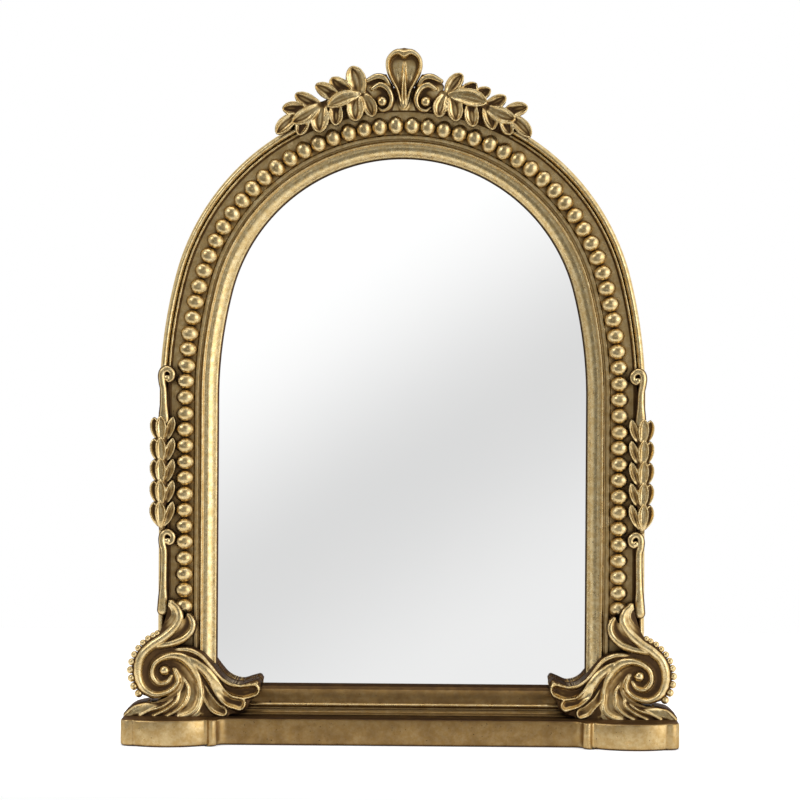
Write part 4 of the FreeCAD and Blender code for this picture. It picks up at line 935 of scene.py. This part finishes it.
# Crest scroll to the right of the middle: its ground, inner curl and outer strand
CURL_GROUND = [(19, 6.2), (17, 9.2), (12.6, 11.8), (8.4, 11.8), (5, 6.2), (4, -0.6), (5.4, -5.2),
               (9, -6.6), (12.6, -5.2), (15.2, -0.4), (18, 2.6)]
CURL_INNER = [(15.2, 4.8), (11.4, 6.8), (7.7, 4.9), (5.8, 0.3), (7, -3.9), (10.1, -5.2), (12.6, -3.8)]
CURL_OUTER = [(17.6, 8.6), (13.1, 10.6), (9.3, 10), (6.6, 6.3)]


def make_crest_scrolls():
    for label, side in SIDES:
        face = Relief((3, CROWN_TOP - 9), (20.6, CROWN_TOP + 15), 0.2)
        face.ground(above_crown(CURL_GROUND), 0.3, 0.7)
        face.stroke(above_crown(CURL_INNER), (0.9, 1.55, 1.65, 1.45, 1.2, 0.9, 0.5),
                    (1.2, 2, 2.3, 2.2, 2, 1.5, 0.8), 0.6)
        face.stroke(above_crown(CURL_OUTER), (1, 1.5, 1.5, 1), (1.2, 1.7, 1.7, 1), 0.5)
        face.dome((10.3, CROWN_TOP - 1.1), 2.5, 0.8)
        face.piece(f"crest_curl_{label}", mirrored(side), CREST_SEAT, CREST_SKIRT, [f"crest_scroll_{label}"])


# Palmette: foot behind it, then the right half's edge, rim, rib and fold
PALMETTE_FOOT = [(-7, -5.2), (7, -5.2), (5, 1), (-5, 1)]
PALMETTE_EDGE = [(1.3, -4.2), (2.3, -1.4), (3.6, 3.8), (6, 8.1), (7.7, 11.8), (8.6, 15.8), (8.2, 19.2),
                 (6, 21.9), (3.3, 23.6), (0, 24.3)]
PALMETTE_RIM = [(1, -3.2), (1.7, -1.2), (2.9, 4), (5.2, 8.4), (6.9, 12), (7.7, 15.8), (7.2, 18.9),
                (5.3, 21.2), (2.9, 22.2), (0, 21.2)]
PALMETTE_RIB = [(0.62, -2.6), (0.75, 4), (0.5, 10.4), (0.2, 17.4)]
PALMETTE_FOLD = [(2, 4.5), (3.2, 10.2), (3.8, 15)]
PALMETTE_SHADE, LAUREL_SHADE = 0.72, 0.8


def make_palmette():
    """A hooded shell: thin rims up to a rolled lip, a hollow with a twin rib."""
    face = Relief((-10, CROWN_TOP - 6), (10, CROWN_TOP + 25.6), 0.2)
    face.ground(above_crown(PALMETTE_FOOT), 0, 0.1)
    face.ground(above_crown(PALMETTE_EDGE) + above_crown(PALMETTE_EDGE[-2::-1], -1), 0.7, 0.1)
    for turn in (1, -1):
        face.stroke(above_crown(PALMETTE_RIM, turn), (0.6, 0.7, 0.8, 0.85, 0.9, 0.95, 1.05, 1.2, 1.5, 2.2),
                    (1.2, 1.8, 2.2, 2.6, 2.9, 3.1, 3.2, 3.3, 3.4, 3.5), 0.6)
        face.stroke(above_crown(PALMETTE_RIB, turn), (0.6, 0.75, 0.55, 0.3), (1.6, 2.4, 1.9, 0.9), 0.6)
        face.stroke(above_crown(PALMETTE_FOLD, turn), (0.2, 0.35, 0.2), (0.2, 0.35, 0.2), 0.7)
    face.stroke(above_crown([(0, -3.6), (0, -1)]), (1.2, 0.8), (1.4, 1.2), 0.6)
    face.piece("palmette_carving", mirrored(1), CREST_SEAT, PALMETTE_SKIRT, ["crest_palmette"],
               PALMETTE_SHADE)


# Stiles: tendrils and laurel, with eyes and feet as X and Z on the right
SIDE_SEAT, SIDE_SKIRT = -4.7, 3.2
LAUREL_TOP, LAUREL_PITCH, LAUREL_TIERS = 153, 10, 5
TENDRILS = (("upper", (111.4, 172.2), (112.5, LAUREL_TOP - 2)), ("lower", (110.8, 95.2), (112.5, 61.6)))
# Curl of a tendril from its foot up, over and in, from its eye outwards and upwards
CURL_STEP = [(1.2, -8), (2, -3), (2.3, 0.2), (1.5, 2.5), (-0.6, 3.2), (-2.6, 1.6), (-2.5, -0.9),
             (-0.9, -2.1), (0.3, -0.9)]
CURL_WIDTHS = (2.7, 2.4, 1.95, 1.8, 1.75, 1.75, 1.75, 1.65, 1.5, 1.2)
CURL_HEIGHTS = (1.4, 1.8, 2, 2, 2, 2, 1.9, 1.7, 1.4, 1.1)
# Leaves of a tier: base and tip as X and drop below the tier's top, then width, lift and bow
LAUREL_LEAVES = (
    ((111.8, 11.4), (108.1, 0.2), 4, 0, 0.06),
    ((114.8, 11.4), (117.3, 0.6), 4.6, 0, -0.06),
    ((113.6, 11.6), (114.1, 0), 5.2, 0.7, 0),
)


def make_tendril(name, place, eye, foot, replaces):
    """A stem that thins as it climbs and curls over into its eye."""
    face = Relief((103.0, foot[1] - 3.0), (119.0, eye[1] + 7.0), 0.25)
    curl = [foot] + [(eye[0] + x, eye[1] + z) for x, z in CURL_STEP]
    face.stroke(curl, CURL_WIDTHS, CURL_HEIGHTS, 0.2)
    face.dome((eye[0] - 0.3, eye[1] - 1.0), 1.6, 0.3)
    face.piece(name, place, SIDE_SEAT, SIDE_SKIRT, replaces)


def make_laurel(name, place, replaces):
    """Tiers of three leaves on a stem, the inner one spread away from the other two."""
    face = Relief((104.0, LAUREL_TOP - 56.0), (120.6, LAUREL_TOP + 2.0), 0.25)
    foot = LAUREL_TOP - LAUREL_TIERS * LAUREL_PITCH - 3.0
    stem = [(113.4, foot), (113.2, foot + 26.0), (113.2, foot + 44.0)]
    face.stroke(stem, (1.2, 3.2, 2.2), (0.6, 0.8, 0.6), 0.1)
    for tier in range(LAUREL_TIERS):
        top = LAUREL_TOP - tier * LAUREL_PITCH
        for base, tip, width, lift, bow in LAUREL_LEAVES:
            low = 0.3 + 0.1 * tier + lift
            leaf(face, (base[0], top - base[1]), (tip[0], top - tip[1]), width, low, bow)
    face.piece(name, place, SIDE_SEAT, SIDE_SKIRT, replaces, LAUREL_SHADE)


def make_sides():
    for label, side in SIDES:
        place = mirrored(side)
        for level, eye, foot in TENDRILS:
            make_tendril(f"tendril_{level}_{label}", place, eye, foot, [f"side_tendril_{level}_{label}"])
        make_laurel(f"laurel_{label}", place, [f"laurel_drop_{label}"])


make_mouldings()
make_plinth()
make_pearls()
make_corners()
make_sprays()
make_crest_scrolls()
make_palmette()
make_sides()


# CAD nodes that show as they are
# The crest's backing takes the darker gold that paints the shade behind the leaves
FINISHES = {
    "mirror_glass": mirror_material(), "backing_pad": card_material(), "back_board": board_material(),
    "base_felt": felt_material(), "crest_backing": gold_painted_shade,
}
steel = steel_material()
for node_name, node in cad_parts.items():
    metal = steel if "button" in node_name or "screws" in node_name else None
    finish = FINISHES.get(node_name, metal)
    if finish:
        node.data.materials.clear()
        node.data.materials.append(finish)
        node.data.polygons.foreach_set("use_smooth", [True] * len(node.data.polygons))
        sharpen(node, NODE_CREASE)


# Camera in metres: distance, height, degrees to the right and of roll, width and middle of its view
CAMERA_FAR, CAMERA_HEIGHT, CAMERA_SIDE, CAMERA_ROLL = 1.4, 0.19, 0.8, 0.35
VIEW_ACROSS, VIEW_CENTRE, SENSOR = 0.3776, 0.1614, 36.0
CAMERA_AIM = Vector((-0.0012, -0.008, CAMERA_HEIGHT))
# Floor and the card that the glass reflects: size and place
FLOOR_SIZE, FLOOR_SPOT = (0.9, 0.7), (0, 0.17, 0)
CARD_SIZE, CARD_SPOT, CARD_TARGET = (0.60, 0.72), (-0.096, -2.2, 0.10), (-0.096, 0, 0.10)
# How the card's light changes across and up it
CARD_LEAN, CARD_RISE, CARD_START = -1.88, 2.84, 0.36
# Softboxes: name, place, size and radiance
LAMP_TARGET = (0, 0, 0.16)
SOFTBOXES = (
    ("softbox_left", (-1.05, -0.85, 1.05), (0.7, 0.7), 3.4),
    ("softbox_right", (1.45, -1.05, 0.45), (1.2, 1.2), 1.6),
    ("softbox_top", (0.0, -0.20, 1.7), (1.2, 0.6), 1.8),
)
# Studio walls: direction's axis, where each starts and is full, and its level; then front to back
STUDIO_WALLS = (("X", 0.22, 0.62, 1.15), ("X", -0.7, -0.97, 0.8), ("Z", 0.65, 0.95, 0.9))
STUDIO_DEPTH = (-0.3, 0.6, 0.24, 0.9)


def look(obj, spot, target, roll=0.0):
    way = (Vector(target) - Vector(spot)).to_track_quat("-Z", "Y").to_matrix().to_4x4()
    obj.matrix_world = Matrix.Translation(spot) @ way @ Matrix.Rotation(roll, 4, "Z")


def make_camera():
    camera = add_object("camera", bpy.data.cameras.new("camera"))
    bpy.context.scene.camera = camera
    camera.data.sensor_width = SENSOR
    camera.data.lens = SENSOR * CAMERA_FAR / VIEW_ACROSS
    camera.data.shift_y = (VIEW_CENTRE - CAMERA_HEIGHT) / VIEW_ACROSS
    turn = math.radians(CAMERA_SIDE)
    spot = CAMERA_AIM + Vector((math.sin(turn), -math.cos(turn), 0)) * CAMERA_FAR
    look(camera, spot, CAMERA_AIM, math.radians(CAMERA_ROLL))


def stage_plane(name, size, spot, target, material):
    mesh = bpy.data.meshes.new(name)
    w, h = size[0] / 2, size[1] / 2
    mesh.from_pydata([(-w, -h, 0), (w, -h, 0), (w, h, 0), (-w, h, 0)], [], [(0, 1, 2, 3)])
    mesh.materials.append(material)
    plane = add_object(name, mesh)
    plane.location = spot
    if target:
        look(plane, spot, target)
    return plane


def floor_material():
    """Pale floor that shows white to the camera where no shadow falls."""
    material, graph, shader = principled("floor")
    rays = graph.add("LightPath").outputs
    seen = graph.math("MAXIMUM", rays["Is Camera Ray"], rays["Is Glossy Ray"])
    seen = graph.math("MAXIMUM", seen, rays["Is Transmission Ray"])
    graph.fill(shader, Base_Color=FLOOR_GREY, Roughness=1.0, Specular_IOR_Level=0.0, Emission_Color=WHITE,
               Emission_Strength=graph.math("MULTIPLY", seen, FLOOR_GLOW))
    return material


def card_light_material():
    """White card behind the camera that the glass reflects, shading off across it."""
    material = bpy.data.materials.new("reflected_card")
    graph = Graph(material)
    place = graph.axes("Object")
    rise = graph.math("MULTIPLY_ADD", place["Y"], CARD_RISE, CARD_START)
    slant = graph.math("MULTIPLY_ADD", place["X"], CARD_LEAN, rise)
    bright = graph.ramp(slant, 0.0, 0.9, 0.735, 1.05)
    corner = graph.ramp(slant, -0.8, 0.0, 0.14, 0.0)
    emission = graph.add("Emission")
    graph.put(graph.math("ADD", bright, corner), emission.inputs["Strength"])
    graph.put(emission.outputs["Emission"], graph.add("OutputMaterial").inputs["Surface"])
    return material


def softbox(name, spot, size, radiance):
    light = bpy.data.lights.new(name, "AREA")
    light.shape = "RECTANGLE"
    light.size, light.size_y = size
    light.energy = radiance * math.pi * size[0] * size[1]
    look(add_object(name, light), spot, LAMP_TARGET)


def make_world():
    """White to the camera; in reflections a dim front, white walls at the sides, behind and above."""
    world = bpy.data.worlds.new("studio")
    bpy.context.scene.world = world
    graph = Graph(world)
    way = graph.axes("Generated")
    studio = graph.ramp(way["Y"], *STUDIO_DEPTH)
    for axis, low, high, level in STUDIO_WALLS:
        studio = graph.math("MAXIMUM", studio, graph.ramp(way[axis], low, high, 0.0, level))
    seen = graph.add("LightPath").outputs["Is Camera Ray"]
    shade = graph.add("Background")
    graph.fill(shade.inputs, Color=WHITE, Strength=graph.math("MAXIMUM", studio, seen))
    graph.put(shade.outputs["Background"], graph.add("OutputWorld").inputs["Surface"])


make_camera()
stage_plane("floor", FLOOR_SIZE, FLOOR_SPOT, None, floor_material())
card = stage_plane("reflected_card", CARD_SIZE, CARD_SPOT, CARD_TARGET, card_light_material())
card.visible_camera = False
card.visible_diffuse = False
for lamp_values in SOFTBOXES:
    softbox(*lamp_values)
make_world()
bpy.context.scene.view_settings.view_transform = "Standard"
